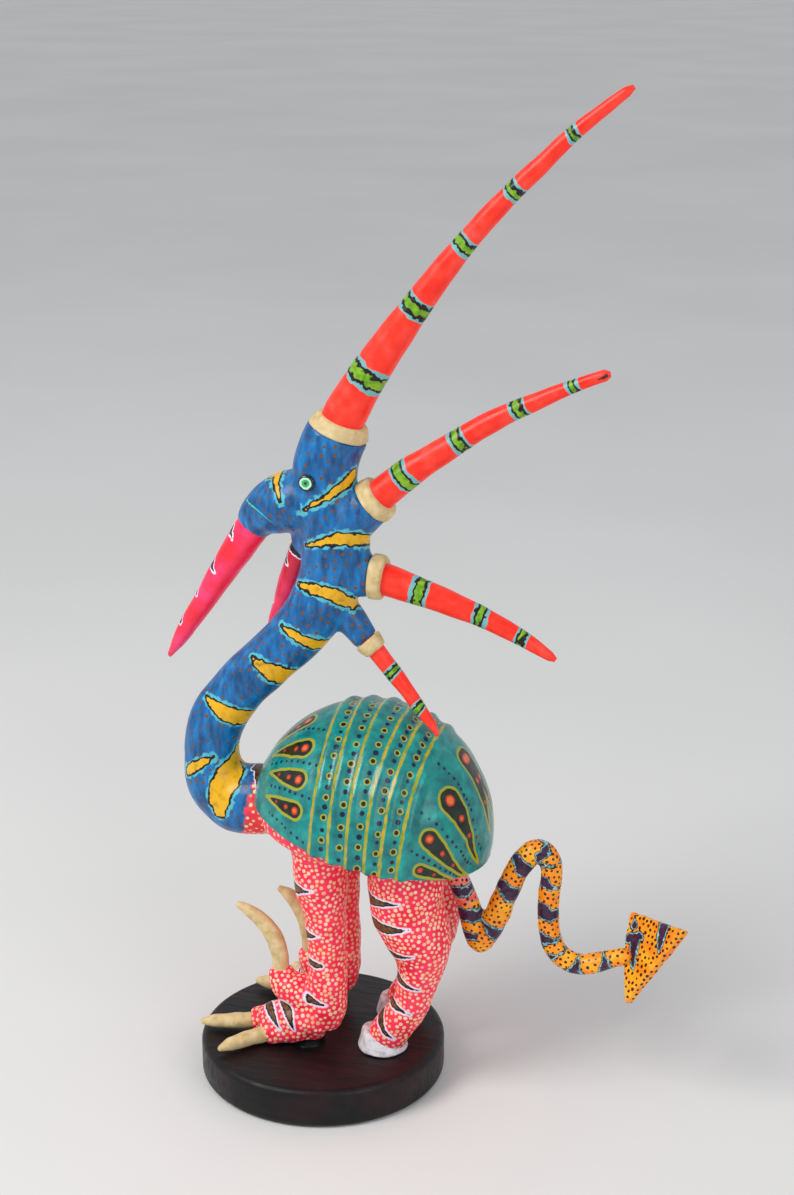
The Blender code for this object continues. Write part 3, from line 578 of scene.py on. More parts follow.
note(neck_skin, "patches", patches)
note(neck_skin, "flecks", flecks)
note(neck_skin, "bill_line", strokes(places, bill_paths))
note(neck_skin, "pink_zone", pink_zone)
note(neck_skin, "dots", dotted(places, dots, radii))
settle(neck_skin, "blue_dotted_paint", blue_acrylic(), "neck", "head")
print("%d rust dots, %d cream dots" % (len(rust), len(cream)))

# %% [markdown]
# ## Beaks
#
# Two long beaks hang from the head in hot pink, brushed over with red so that one runs into
# the other. A few small flecks sit on their front edges: black, with a lavender-white rim.

# %% The hot pink paint and the beaks
def hot_pink_acrylic(name, *colours):
    # Fluorescent acrylic with a painted glow: a trace of its colour is emitted, so it looks lit
    # from inside.
    material, tree, shader, place = open_pot(name, 0.4, coat=0.3, coat_roughness=0.2)
    colour = mottled(tree, place, 13.0, *colours, detail=4.0, spread=(0.36, 0.62))
    fleck = unsteady(tree, place, mark_on(tree, "flecks"), 1.5, 0.35)
    colour = brush_over(tree, colour, "#F1E2F2", fleck, 0.62, soft=0.15)
    colour = brush_over(tree, colour, "#1B1420", fleck, 0.0)
    tree.links.new(colour, shader.inputs["Base Color"])
    tree.links.new(colour, shader.inputs["Emission Color"])
    shader.inputs["Emission Strength"].default_value = 0.08
    wear_gloss(tree, shader, place, 0.32, 0.48)
    lumpy(tree, shader, place, 4.0, strength=0.22)
    return material


UPPER_BEAK = [(-0.0192, 0.0040, 0.0398, 0.0062), (-0.0213, 0.0042, 0.0368, 0.0065),
              (-0.0263, 0.0050, 0.0294, 0.0064), (-0.0337, 0.0062, 0.0184, 0.0054),
              (-0.0411, 0.0080, 0.0072, 0.0047), (-0.0491, 0.0100, -0.0046, 0.0038),
              (-0.0558, 0.0116, -0.0149, 0.0026), (-0.0600, 0.0128, -0.0214, 0.0011)]
LOWER_BEAK = [(0.0005, 0.0056, 0.0345, 0.0048), (-0.0018, 0.0067, 0.0292, 0.0055),
              (-0.0071, 0.0100, 0.0155, 0.0054), (-0.0123, 0.0130, 0.0028, 0.0046),
              (-0.0175, 0.0150, -0.0113, 0.0035), (-0.0216, 0.0158, -0.0230, 0.0023),
              (-0.0249, 0.0160, -0.0332, 0.0009)]
# Each fleck: how far along the beak, and round it, it starts and how far it runs.
UPPER_FLECKS = [(8.6, 60, 3.6), (25.3, 58, 4.2), (39.9, 70, 3.0), (55.8, 68, 2.2)]
LOWER_FLECKS = [(11.4, 62, 3.4), (32.1, 80, 2.6), (44.1, 80, 2.6)]


def make_beak(name, stations, marks, finish):
    beak = paste_over(name, [limb(name + "_limb", stations, head, sides=20)], 0.8, 2)
    hand_press(beak, 9.0, 0.3, seed=3.0)
    places = places_on(beak)
    paths = []
    for facing in (LEFT, RIGHT):
        line = Line(stations, head, facing)
        for along, angle, run in marks:
            paths.append(line.path([(along - 2.0, angle + 12, 0.7), (along, angle, 1.15),
                                    (along + 0.9, angle - 8 * run, 0.2)]))
    if name == "lower_beak":
        paths.append(line.path([(4.6, a, 1.9) for a in range(0, 361, 30)]))
    note(beak, "flecks", strokes(places, paths))
    return settle(beak, "magenta_beak_paint", finish, name)


make_beak("upper_beak", UPPER_BEAK, UPPER_FLECKS,
          hot_pink_acrylic("hot_pink_acrylic", "#F41C34", "#FF2850", "#FF3A74"))
# The lower beak hangs behind the neck: its crimson pink is darkened further with painted shade.
make_beak("lower_beak", LOWER_BEAK, LOWER_FLECKS,
          hot_pink_acrylic("crimson_pink_acrylic", "#C81034", "#DE1A4C", "#F02A60"))

# %% [markdown]
# ## Eyes
#
# Each eye is a paste button glued on the head: a black rim, a mint ring and a green middle
# with a dark pupil, all under gloss varnish. The rings are circles about the button's own
# axis, so the paint measures its distance from that axis.

# %% The eyes
EYE_RADIUS, EYE_THICKNESS = 0.0032, 0.0031
EYE_SINK = 0.00062           # how far its middle is sunk behind the place it is glued at


def eye_middle(side):
    return head + Vector((0.0052, 0.002 + side * 0.0125, 0.0600))


def varnished_eye(name, side):
    # Gloss varnish over acrylic: a tight bright highlight on a small dome.
    material, tree, shader, place = open_pot(name, 0.2, coat=0.8, coat_roughness=0.05)
    flat = add(tree, "ShaderNodeVectorMath", {0: place, 1: (1.0, 0.0, 1.0)},
               operation="MULTIPLY")
    x, _, z = eye_middle(side)
    reach = add(tree, "ShaderNodeVectorMath", {0: flat, 1: (x - 0.0001, 0.0, z + 0.0001)},
                give="Value", operation="DISTANCE")
    rings = add(tree, "ShaderNodeMath", {0: reach, 1: 1 / MM}, operation="MULTIPLY")
    rings = unsteady(tree, place, rings, 1.6, 0.16)
    colour = brush_over(tree, linear("#0B0B10"), "#B9F2D2", rings, 2.25)
    colour = brush_over(tree, colour, "#2FAE62", rings, 1.45)
    colour = brush_over(tree, colour, "#0A3A1C", rings, 0.62)
    tree.links.new(colour, shader.inputs["Base Color"])
    return material


def make_eye(word, side):
    bm = bmesh.new()
    bmesh.ops.create_cone(bm, cap_ends=True, segments=48, radius1=EYE_RADIUS,
                          radius2=EYE_RADIUS, depth=EYE_THICKNESS)
    rim = [e for e in bm.edges if all(v.co.z > 0 for v in e.verts)]
    bmesh.ops.bevel(bm, geom=rim, offset=0.0009, affect="EDGES", segments=5, profile=0.5,
                    material=-1)
    place = (Matrix.Translation(eye_middle(side) - Vector((0, side * EYE_SINK, 0)))
             @ Matrix.Rotation(-side * math.pi / 2, 4, "X"))
    bmesh.ops.transform(bm, matrix=place, verts=bm.verts)
    settle(keep_bmesh("eye_" + word, bm), "eye_paint", varnished_eye("varnished_eye_" + word,
                                                                     side), "eye_" + word)


make_eye("left", LEFT)
make_eye("right", RIGHT)

# %% [markdown]
# ## Horns and collars
#
# The horns are fluorescent red acrylic, pinker where the second coat is thin. Bands of three
# colours ring them: a pale turquoise edge, a wavy black line and a green middle. The bands
# narrow towards the tip. A collar of bare cream paste hides the joint of each horn.

# %% Red horn paint and cream paste
def red_acrylic():
    # Fluorescent acrylic again: saturated, under satin varnish, with a little painted glow: its
    # colour is emitted.
    material, tree, shader, place = open_pot("fluorescent_red_acrylic", 0.42, coat=0.12,
                                             coat_roughness=0.2)
    red = mottled(tree, place, 6.0, "#F82816", "#FF3420", "#FF4436", "#FF5E5A", detail=5.0,
                  spread=(0.34, 0.8))
    band = unsteady(tree, place, mark_on(tree, "band"), 3.2, 0.08, detail=0.0)
    green = mottled(tree, place, 2.6, "#548A12", "#72A61A", "#88B824", detail=2.0)
    colour = brush_over(tree, red, "#70B2B4", band, 1.0, soft=0.04)
    ragged = unsteady(tree, place, mark_on(tree, "band"), 2.2, 0.15, detail=1.0)
    colour = brush_over(tree, colour, "#170F12", ragged, 0.70, soft=0.04)
    colour = brush_over(tree, colour, green, ragged, 0.38, soft=0.04)
    worn = unsteady(tree, place, mark_on(tree, "tip"), 1.5, 0.25)
    colour = brush_over(tree, colour, "#4A1416", worn, 0.0, soft=0.3)
    tree.links.new(colour, shader.inputs["Base Color"])
    tree.links.new(colour, shader.inputs["Emission Color"])
    shader.inputs["Emission Strength"].default_value = 0.08
    wear_gloss(tree, shader, place, 0.3, 0.45)
    lumpy(tree, shader, place, 4.0, strength=0.2)
    return material


def cream_paste():
    # Bare paper paste, hand-smoothed and stained: quite matt, with brown in its hollows.
    material, tree, shader, place = open_pot("stained_paper_paste", 0.62, coat=0.12,
                                             coat_roughness=0.35)
    colour = mottled(tree, place, 3.2, "#B89C66", "#D0B680", "#DCC490", "#E6D2A2", detail=5.0,
                     spread=(0.22, 0.7))
    tree.links.new(colour, shader.inputs["Base Color"])
    lumpy(tree, shader, place, 2.6, strength=0.4)
    return material


HORNS = [
    [(0.0130, 0.0020, 0.0755, 0.0082), (0.0172, 0.0020, 0.0850, 0.0081),
     (0.0246, 0.0020, 0.0976, 0.0073), (0.0348, 0.0020, 0.1128, 0.0063),
     (0.0436, 0.0020, 0.1250, 0.0054), (0.0516, 0.0020, 0.1360, 0.0047),
     (0.0603, 0.0020, 0.1470, 0.0041), (0.0690, 0.0020, 0.1569, 0.0038),
     (0.0778, 0.0020, 0.1663, 0.0035), (0.0887, 0.0020, 0.1770, 0.0031),
     (0.0982, 0.0020, 0.1863, 0.0027), (0.1084, 0.0020, 0.1947, 0.0023),
     (0.1160, 0.0020, 0.2006, 0.0018), (0.1184, 0.0020, 0.2023, 0.0009)],
    [(0.0215, 0.0020, 0.0463, 0.0063), (0.0285, 0.0020, 0.0527, 0.0063),
     (0.0380, 0.0020, 0.0610, 0.0058), (0.0490, 0.0020, 0.0692, 0.0050),
     (0.0592, 0.0020, 0.0763, 0.0045), (0.0710, 0.0020, 0.0841, 0.0041),
     (0.0810, 0.0020, 0.0895, 0.0036), (0.0907, 0.0020, 0.0942, 0.0030),
     (0.1004, 0.0020, 0.0987, 0.0025), (0.1118, 0.0020, 0.1034, 0.0022),
     (0.1136, 0.0020, 0.1039, 0.0012)],
    [(0.0190, 0.0020, 0.0226, 0.0063), (0.0262, 0.0020, 0.0222, 0.0063),
     (0.0322, 0.0020, 0.0211, 0.0061), (0.0442, 0.0020, 0.0179, 0.0053),
     (0.0563, 0.0020, 0.0140, 0.0047), (0.0680, 0.0020, 0.0101, 0.0040),
     (0.0831, 0.0020, 0.0033, 0.0031), (0.0945, 0.0020, -0.0032, 0.0019),
     (0.0968, 0.0020, -0.0045, 0.0009)],
    [(0.0195, 0.0016, 0.0028, 0.0032), (0.0245, 0.0015, -0.0030, 0.0034),
     (0.0289, 0.0010, -0.0077, 0.0034), (0.0351, -0.0005, -0.0142, 0.0032),
     (0.0410, -0.0020, -0.0203, 0.0029), (0.0463, -0.0040, -0.0262, 0.0025),
     (0.0515, -0.0060, -0.0315, 0.0018), (0.0545, -0.0075, -0.0353, 0.0007)],
]
# Each band: its middle along the horn and its half width, in millimetres.
BANDS = [[(27.1, 4.6), (58.6, 3.9), (87.0, 3.3), (113.0, 3.0), (141.1, 2.5)],
         [(24.3, 3.5), (49.5, 3.3), (74.6, 3.2), (95.9, 2.5)],
         [(26.9, 3.6), (51.2, 3.1), (68.1, 2.7)],
         [(23.1, 2.3), (40.0, 2.3)]]
# Each collar: where its socket ends, the way it points, and its radius at both ends.
COLLARS = [
    ((0.0137, 0.002, 0.0768), (0.0353, 0.0, 0.0936), 0.0117, 0.0100),
    ((0.0262, 0.002, 0.0505), (0.0105, 0.0, 0.0093), 0.0092, 0.0085),
    ((0.0262, 0.002, 0.0223), (0.0102, 0.0, -0.0008), 0.0088, 0.0084),
    ((0.0245, 0.0015, -0.0030), (0.0095, -0.0006, -0.0102), 0.0056, 0.0048),
]
COLLAR_LENGTH = 0.0052

# %% Four horns, four collars
def make_horn(number, stations, bands, finish):
    horn = limb("horn_%d" % number, stations, head, sides=32, steps=10)
    hand_press(horn, 9.0, 0.28, seed=number)
    line = Line(stations, head)
    along, angle = line.survey(places_on(horn))
    slant = np.sin(np.radians(angle) + number) * 0.5
    note(horn, "band", np.min([abs(along + slant - middle) / half for middle, half in bands],
                              axis=0))
    # Only the second horn has a dark chip near its tip.
    chip = line.path([(105.2, 14, 0.3), (108.4, 2, 0.8)])
    note(horn, "tip", stroke(places_on(horn), chip) if number == 2 else along + 9.0)
    settle(horn, "red_horn_paint", finish, "horn_%d" % number)


def make_collar(number, spec, finish):
    start, way, low, high = spec
    start, way = Vector(start), Vector(way).normalized()
    rings = [(0.0, low - 0.0007), (0.0005, low - 0.0002), (0.0026, (low + high) / 2),
             (COLLAR_LENGTH - 0.0006, high - 0.0001), (COLLAR_LENGTH, high - 0.0007)]
    stations = [(*(start + way * along), radius) for along, radius in rings]
    collar = limb("collar_%d" % number, stations, head, sides=48, steps=4)
    hand_press(collar, 5.0, 0.3, seed=number)
    settle(collar, "cream_paste", finish, "collar_%d" % number)


red, cream_finish = red_acrylic(), cream_paste()
for number, (stations, bands, collar) in enumerate(zip(HORNS, BANDS, COLLARS), 1):
    make_horn(number, stations, bands, red)
    make_collar(number, collar, cream_finish)

# %% [markdown]
# ## The shell
#
# The shell is an armadillo's: smooth fore and aft, with raised bands between. Its surface is
# a half ellipse spun about the body's axis. The ridges don't run quite square to that axis,
# so they are pressed in afterwards, each beside its painted line. The lower part is cut off
# by a sloping plane, and the edge turned in to make the thickness of the wall.

# %% Spinning and ridging the shell
BODY_TILT = math.radians(4.5)
RIM_SLOPE = math.radians(13)
SHELL_WALL = 0.0032
GLUE_GAP = 0.0003            # clearance between pieces that are glued together
RIDGE_HEIGHT = 1.1           # mm
# Each painted line along the shell's axis, in mm: at the top, on the flank and at the rim.
RIDGE_LINES = [(-15.6, -14.2, -13.2), (-8.1, -7.2, -5.6), (0.4, 0.1, 1.4), (10.4, 7.6, 8.5),
               (17.0, 14.1, 14.1), (24.1, 21.4, 20.3)]
half_axes = np.array(shell_size) / MM / 2
body_turn = Matrix.Rotation(BODY_TILT, 3, "Y")


def shell_spot(lon, around, facing=LEFT):
    """A point on the shell: degrees back from the front pole, and down from the top."""
    lon, around = math.radians(lon), math.radians(around)
    spot = (-math.cos(lon) * half_axes[0], facing * math.sin(lon) * math.sin(around)
            * half_axes[1], math.sin(lon) * math.cos(around) * half_axes[2])
    return np.array(body_turn @ Vector(spot)) + np.array(body) / MM


def line_at(line, around):
    """Where a painted line crosses the shell's axis, at an angle down from the top."""
    return np.interp(np.abs(around), [0, 50, 90, 180], [*RIDGE_LINES[line], RIDGE_LINES[line][2]])


def axis_view(places):
    """Distance along the shell's axis and angle down from its top, for each place."""
    own = (places - np.array(body) / MM) @ np.array(body_turn)
    return own[:, 0], np.degrees(np.arctan2(-own[:, 1], own[:, 2]))


def ridge_lift(places):
    """How far each place is raised by the ridge that it is on."""
    along, around = axis_view(places)
    crests = np.array([line_at(i, around) + 1.4 for i in range(len(RIDGE_LINES))])
    gap = np.min(np.abs(along - crests), axis=0)
    lift = RIDGE_HEIGHT * (0.5 + 0.5 * np.cos(np.pi * np.clip(gap / 3.5, 0, 1)))
    return lift


def make_shell():
    rings, steps = 125, 260
    bm = bmesh.new()
    profile = []
    for i in range(rings + 1):
        angle = math.pi * i / rings
        profile.append(bm.verts.new((-math.cos(angle) * shell_size.x / 2, 0.0,
                                     math.sin(angle) if 0 < i < rings else 0.0)))
    edges = [bm.edges.new(pair) for pair in zip(profile, profile[1:])]
    bmesh.ops.spin(bm, geom=profile + edges, axis=(1, 0, 0), cent=(0, 0, 0), angle=math.tau,
                   steps=steps, use_merge=True)
    bmesh.ops.remove_doubles(bm, verts=bm.verts, dist=1e-6)
    bmesh.ops.scale(bm, vec=(1.0, shell_size.y / 2, shell_size.z / 2), verts=bm.verts)
    bmesh.ops.recalc_face_normals(bm, faces=bm.faces)
    bmesh.ops.transform(bm, matrix=Matrix.Translation(body) @ body_turn.to_4x4(),
                        verts=bm.verts)
    rim_up = Matrix.Rotation(RIM_SLOPE, 3, "Y") @ Vector((0, 0, 1))
    rim_middle = body + Vector((0, 0, 0.0005))
    bmesh.ops.bisect_plane(bm, geom=list(bm.verts) + list(bm.edges) + list(bm.faces),
                           dist=1e-7, plane_co=rim_middle, plane_no=rim_up, clear_inner=True)
    for inward, upward in ((SHELL_WALL, 0.0), (0.0, 0.006)):
        rim = [e for e in bm.edges if e.is_boundary]
        turned = bmesh.ops.extrude_edge_only(bm, edges=rim)["geom"]
        turned = [item for item in turned if isinstance(item, bmesh.types.BMVert)]
        for vert in turned:
            out = vert.co - rim_middle
            vert.co += rim_up * upward - out.normalized() * inward
    bmesh.ops.holes_fill(bm, edges=[e for e in bm.edges if e.is_boundary], sides=0)
    bmesh.ops.recalc_face_normals(bm, faces=bm.faces)
    coarse = keep_bmesh("shell", bm)
    finer = coarse.modifiers.new("finer", "SUBSURF")
    finer.subdivision_type = "SIMPLE"
    finer.levels = finer.render_levels = 1
    shell = keep_mesh("shell", baked(coarse))
    places = places_on(shell)
    normals = np.array([v.normal[:] for v in shell.data.vertices])
    lifted = (places + normals * (ridge_lift(places) - 0.12)[:, None]) * MM
    shell.data.vertices.foreach_set("co", lifted.astype(np.float32).ravel())
    hand_press(shell, 9.0, 0.3, seed=5.0)
    return shell


shell = make_shell()
print("shell spun and ridged: %d points" % len(shell.data.vertices))

# %% [markdown]
# Between the ridges run columns of dots, by turns navy and ringed with yellow. In front and
# behind, teardrops point to the shell's two ends. Each is nearly black, with a yellow outline
# and three fire-coloured dots that shrink towards its point, and rows of navy dots run
# between them. All of it is laid on both flanks.

# %% Painting plan of the shell
# Each teardrop: (degrees back, degrees down, half width in mm) from its round end to its
# point. Its dots: (share of the way along it, radius in mm where its round end is as wide as
# DROP_WIDTH), which grow and shrink with it.
FRONT_DROPS = [
    [(56, 10, 4.3), (49, 12, 3.5), (34, 15, 0.7)],
    [(61, 34.5, 4.5), (54, 33.5, 3.8), (37, 29, 0.7)],
    [(62, 53, 4.3), (54, 51, 3.5), (40, 46, 0.7)],
    [(63, 69, 3.9), (56, 67.5, 3.2), (41, 63, 0.7)],
]
REAR_DROPS = [
    [(137, 2, 5.2), (145, 4, 4.4), (158, 10, 2.8), (172, 30, 0.7)],
    [(136, 44, 5.6), (143, 49, 4.7), (152, 63, 2.7), (163, 100, 0.7)],
    [(129, 71, 4.4), (135, 77, 3.8), (144, 89, 2.2), (155, 108, 0.7)],
    [(126, 89, 3.0), (132, 92, 2.6), (139, 97, 1.5), (147, 104, 0.5)],
]
DROP_DOTS = [(0.0, 1.75), (0.40, 1.1), (0.70, 0.75)]
DROP_WIDTH = 4.4             # mm
# Each row: (degrees back, degrees down) along it, and how many dots it has.
DOT_ROWS = [
    ([(44, 15), (68, 23)], 9), ([(40, 39), (70, 45)], 9), ([(44, 56), (70, 62)], 8),
    ([(46, 73), (70, 83)], 8), ([(122, 25), (138, 29), (150, 39), (164, 78)], 16),
    ([(119, 56), (135, 64), (148, 78), (156, 94)], 13),
    ([(118, 77), (129, 83), (141, 93), (149, 102)], 12), ([(117, 93), (134, 101), (146, 108)], 10),
]


def shell_path(marks, facing, steps=5):
    marks = np.array(marks, dtype=float)
    at = np.linspace(0, len(marks) - 1, (len(marks) - 1) * steps + 1)
    fine = [np.interp(at, np.arange(len(marks)), column) for column in marks.T]
    return [(shell_spot(lon, around, facing), half) for lon, around, half in zip(*fine)]


def plan_shell():
    """Teardrop outlines, and the places of the fire, navy and ringed dots."""
    rng = np.random.default_rng(12)
    drops, fire, navy, ringed = [], [], [], []
    for facing in (LEFT, RIGHT):
        for marks in FRONT_DROPS + REAR_DROPS:
            path = shell_path(marks, facing)
            drops.append(path)
            for share, radius in DROP_DOTS:
                i = round(share * (len(path) - 1))
                fire.append((path[i][0], radius * marks[0][2] / DROP_WIDTH))
        for row, count in DOT_ROWS:
            path = shell_path([(*mark, 0.0) for mark in row], facing, steps=40)
            for i in np.linspace(0, len(path) - 1, count).astype(int):
                navy.append((path[i][0] + rng.uniform(-0.2, 0.2, 3), rng.uniform(0.6, 0.8)))
        for gap in range(len(RIDGE_LINES) - 1):
            for turn, around in enumerate(np.arange(1.0 + gap % 2 * 2, 112, 4.9)):
                along = (line_at(gap, around) + line_at(gap + 1, around)) / 2 + 0.9
                lon = math.degrees(math.acos(-along / half_axes[0]))
                spot = shell_spot(lon, around + rng.uniform(-0.7, 0.7), facing)
                if turn % 2:
                    navy.append((spot, rng.uniform(0.8, 1.15)))
                else:
                    ringed.append((spot, rng.uniform(0.82, 1.02)))
    return drops, fire, navy, ringed


drops, fire, navy, ringed = plan_shell()
places = places_on(shell)
along, around = axis_view(places)
marks = {"drops": strokes(places, drops)}
for name, group in (("fire", fire), ("navy", navy), ("ringed", ringed)):
    marks[name] = dotted(places, [spot for spot, _ in group], [size for _, size in group])
marks["lines"] = np.min([np.abs(along - line_at(i, around))
                         for i in range(len(RIDGE_LINES))], axis=0)
for name, values in marks.items():
    note(shell, name, values)
print("%d teardrops, %d navy dots, %d ringed dots" % (len(drops), len(navy), len(ringed)))

# %% Teal paint under varnish
def teal_varnish():
    # Acrylic under brushed gloss varnish: deep colour and wet-looking, broken highlights.
    material, tree, shader, place = open_pot("varnished_teal_acrylic", 0.34, coat=0.5,
                                             coat_roughness=0.12)
    colour = mottled(tree, place, 5.0, "#005E60", "#007A7A", "#008F8A", "#08A89C", detail=5.0,
                     spread=(0.28, 0.74))
    line = unsteady(tree, place, mark_on(tree, "lines"), 3.0, 0.22)
    olive = mottled(tree, place, 3.5, "#7E8E1C", "#A8A01E", "#C2A418", spread=(0.35, 0.65))
    colour = brush_over(tree, colour, olive, line, 0.62, soft=0.12)
    navy = mark_on(tree, "navy")
    colour = brush_over(tree, colour, "#0A1238", navy, 0.0, soft=0.12)
    ringed = mark_on(tree, "ringed")
    colour = brush_over(tree, colour, "#B0A624", ringed, 0.48, soft=0.1)
    colour = brush_over(tree, colour, "#10110D", ringed, 0.0, soft=0.1)
    drop = unsteady(tree, place, mark_on(tree, "drops"), 3.0, 0.15)
    dark = mottled(tree, place, 4.0, "#040C06", "#081A0C", "#122C12")
    colour = brush_over(tree, colour, "#A3A21E", drop, 0.0, soft=0.1)
    colour = brush_over(tree, colour, dark, drop, -1.1, soft=0.1)
    fire = unsteady(tree, place, mark_on(tree, "fire"), 1.5, 0.12)
    colour = brush_over(tree, colour, "#C42A10", fire, 0.0, soft=0.16)
    colour = brush_over(tree, colour, "#EE7430", fire, -0.7, soft=0.4)
    tree.links.new(colour, shader.inputs["Base Color"])
    wear_gloss(tree, shader, place, 0.26, 0.42)
    lumpy(tree, shader, place, 3.2, strength=0.5)
    return material


settle(shell, "teal_varnish", teal_varnish(), "shell")

# %% [markdown]
# ## Pink legs and belly
#
# The legs are pink-red acrylic, crowded with cream dots that the painter set one by one,
# almost touching but never quite. Tiger flecks cut in from the front of each leg: brown in a
# black outline, with a lavender-white line around. The dots stop where a fleck begins.

# %% Pink dotted paint
def pink_acrylic():
    # Fluorescent acrylic on lumpy paper: satin, with a faint painted glow of its own colour that
    # makes it a little brighter than its surroundings.
    material, tree, shader, place = open_pot("dotted_pink_acrylic", 0.42, coat=0.2,
                                             coat_roughness=0.25)
    pink = mottled(tree, place, 9.0, "#EC1844", "#FA2450", "#FF3460", "#FF3840", detail=4.0,
                   spread=(0.3, 0.7))
    dots = mark_on(tree, "dots")
    cream = mottled(tree, place, 4.0, "#F6B684", "#FBC89C", "#FFD8B2", detail=2.0)
    colour = brush_over(tree, pink, cream, dots, 0.0, soft=0.13)
    fleck = unsteady(tree, place, mark_on(tree, "flecks"), 1.3, 0.22)
    brown = mottled(tree, place, 1.4, "#3B2210", "#6A4116", "#7E501C")
    colour = brush_over(tree, colour, "#F3C6DA", fleck, 0.85, soft=0.3)
    colour = brush_over(tree, colour, "#EBE2F0", fleck, 0.42, soft=0.1)
    colour = brush_over(tree, colour, "#191014", fleck, 0.0)
    colour = brush_over(tree, colour, brown, fleck, -0.62)
    # The paint turns black within about a millimetre of the base, and higher up the heel pads.
    sole = unsteady(tree, place, mark_on(tree, "above_base"), 3.0, 0.5)
    colour = brush_over(tree, colour, "#0A080A", sole, 1.1, soft=0.25)
    tree.links.new(colour, shader.inputs["Base Color"])
    tree.links.new(colour, shader.inputs["Emission Color"])
    shader.inputs["Emission Strength"].default_value = 0.04
    wear_gloss(tree, shader, place, 0.36, 0.5)
    lumpy(tree, shader, place, 3.5, strength=0.32)
    return material


LEG_DOT_SPACING, BELLY_DOT_SPACING = 1.78, 2.2      # mm
PAD_RISE = 2.4               # mm that black paint climbs a heel pad, above the feet's own soles
PAD_SPREAD = 0.3             # mm that it spreads past the pad's edge


def dot_pink(piece, fleck_paths, seed, spacing=LEG_DOT_SPACING, pad=()):
    """Notes the flecks, the dots between them and the height above the base, below which the paint
    turns black; returns the dot count.
    """
    places = places_on(piece)
    height = places[:, 2] - stand.z / MM
    if pad:
        on_pad = stroke(places, [((np.array(stand) + np.array(p[:3])) / MM, p[3] / MM)
                                 for p in pad])
        height = np.minimum(height, np.maximum(height - PAD_RISE, on_pad - PAD_SPREAD))
    flecks = strokes(places, fleck_paths) if fleck_paths else np.full(len(places), 20.0)
    dots = sprinkle(places, spacing, seed, flecks > 1.3)
    radii = np.random.default_rng(seed).uniform(0.58, 0.84, len(dots))
    note(piece, "flecks", flecks)
    note(piece, "above_base", height)
    note(piece, "dots", dotted(places, dots, radii))
    return len(dots)


# %% [markdown]
# The torso fills the shell and bulges a little below its rim. It is a sphere, stretched to
# the shell's inside, with its lower half pressed shallow.

# %% The torso
pink = pink_acrylic()
BELLY_DEPTH = 0.010


def make_torso():
    inset = 2 * (SHELL_WALL + GLUE_GAP)
    bm = bmesh.new()
    bmesh.ops.create_uvsphere(bm, u_segments=300, v_segments=170, radius=0.5)
    bmesh.ops.scale(bm, vec=shell_size - Vector((inset, inset, inset)), verts=bm.verts)
    below = [v for v in bm.verts if v.co.z < 0]
    bmesh.ops.scale(bm, vec=(1.0, 1.0, BELLY_DEPTH / (shell_size.z / 2 - inset / 2)), verts=below)
    bmesh.ops.transform(bm, matrix=Matrix.Translation(body) @ body_turn.to_4x4(),
                        verts=bm.verts)
    torso = keep_bmesh("torso", bm)
    print("%d cream dots" % dot_pink(torso, [], 21, spacing=BELLY_DOT_SPACING))
    settle(torso, "pink_dotted_paint", pink, "torso")


make_torso()

# %% Front legs
FRONT_LEG_TOP = [(-0.0167, 0.016, -0.0010, 0.0113), (-0.0161, 0.016, -0.0196, 0.0106)]
FRONT_LEG_LOW = [(0.0042, 0.016, 0.0575, 0.0086), (0.0048, 0.016, 0.0440, 0.0075),
                 (0.0052, 0.016, 0.0300, 0.0077), (0.0045, 0.016, 0.0175, 0.0082),
                 (0.0030, 0.016, 0.0080, 0.0072)]
FOOT = [(0.0020, 0.016, 0.0120, 0.0090), (-0.0075, 0.0165, 0.0095, 0.0092),
        (-0.0160, 0.0165, 0.0070, 0.0078), (-0.0215, 0.0165, 0.0052, 0.0062)]
INNER_TOE = [(-0.0130, 0.0155, 0.0075, 0.0062), (-0.0200, 0.0145, 0.0060, 0.0055),
             (-0.0265, 0.0150, 0.0050, 0.0044)]
OUTER_TOE = [(-0.0060, 0.0185, 0.0070, 0.0068), (-0.0135, 0.0205, 0.0052, 0.0056),
             (-0.0190, 0.0228, 0.0040, 0.0044)]
SPUR = [(0.0010, 0.016, 0.0200, 0.0072), (-0.0075, 0.0160, 0.0210, 0.0078),
        (-0.0130, 0.0155, 0.0245, 0.0062), (-0.0142, 0.0152, 0.0300, 0.0044)]
# A pad under the raised heel, round the wire that holds the foot to the base; the leg's paint turns
# black up its sides, darker towards the bottom.
HEEL_PAD = [(-0.0015, 0.016, 0.0110, 0.0052), (-0.0020, 0.016, 0.0040, 0.0058),
            (-0.0030, 0.016, -0.0010, 0.0074)]
RIGHT_LEG, RIGHT_FOOT = {"shift": -0.0035}, {"shift": -0.001, "reach": 0.75}
RIGHT_SPUR = {"shift": -0.001, "reach": 0.75, "drop": 0.0065}
# Flecks as (along, angle, half width): from the front edge to the point.
LEG_FLECKS = [[(19.6, 78, 2.9), (19.4, 50, 2.2), (18.9, 26, 1.0), (18.4, 1, 0.1)],
              [(39.7, 72, 2.3), (39.5, 48, 1.7), (39.4, 26, 0.9), (39.2, 2, 0.1)],
              [(50.6, 74, 1.0), (51.2, 50, 1.3), (51.7, 24, 1.4), (51.8, 4, 0.9)],
              [(67.0, 72, 2.4), (67.5, 48, 1.9), (68.2, 16, 1.0), (68.6, -16, 0.1)]]
FOOT_FLECKS = [[(15.2, 118, 0.6), (13.0, 92, 1.8), (11.0, 66, 2.3), (9.6, 34, 1.6), (8.9, -6, 0.2)],
               [(20.6, 108, 1.0), (19.0, 76, 1.7), (16.8, 38, 1.4), (14.3, -2, 0.2)]]


def trim_at_base(piece):
    """Flattens whatever would sink into the base."""
    for vert in piece.data.vertices:
        vert.co.z = max(vert.co.z, stand.z + 0.0001)


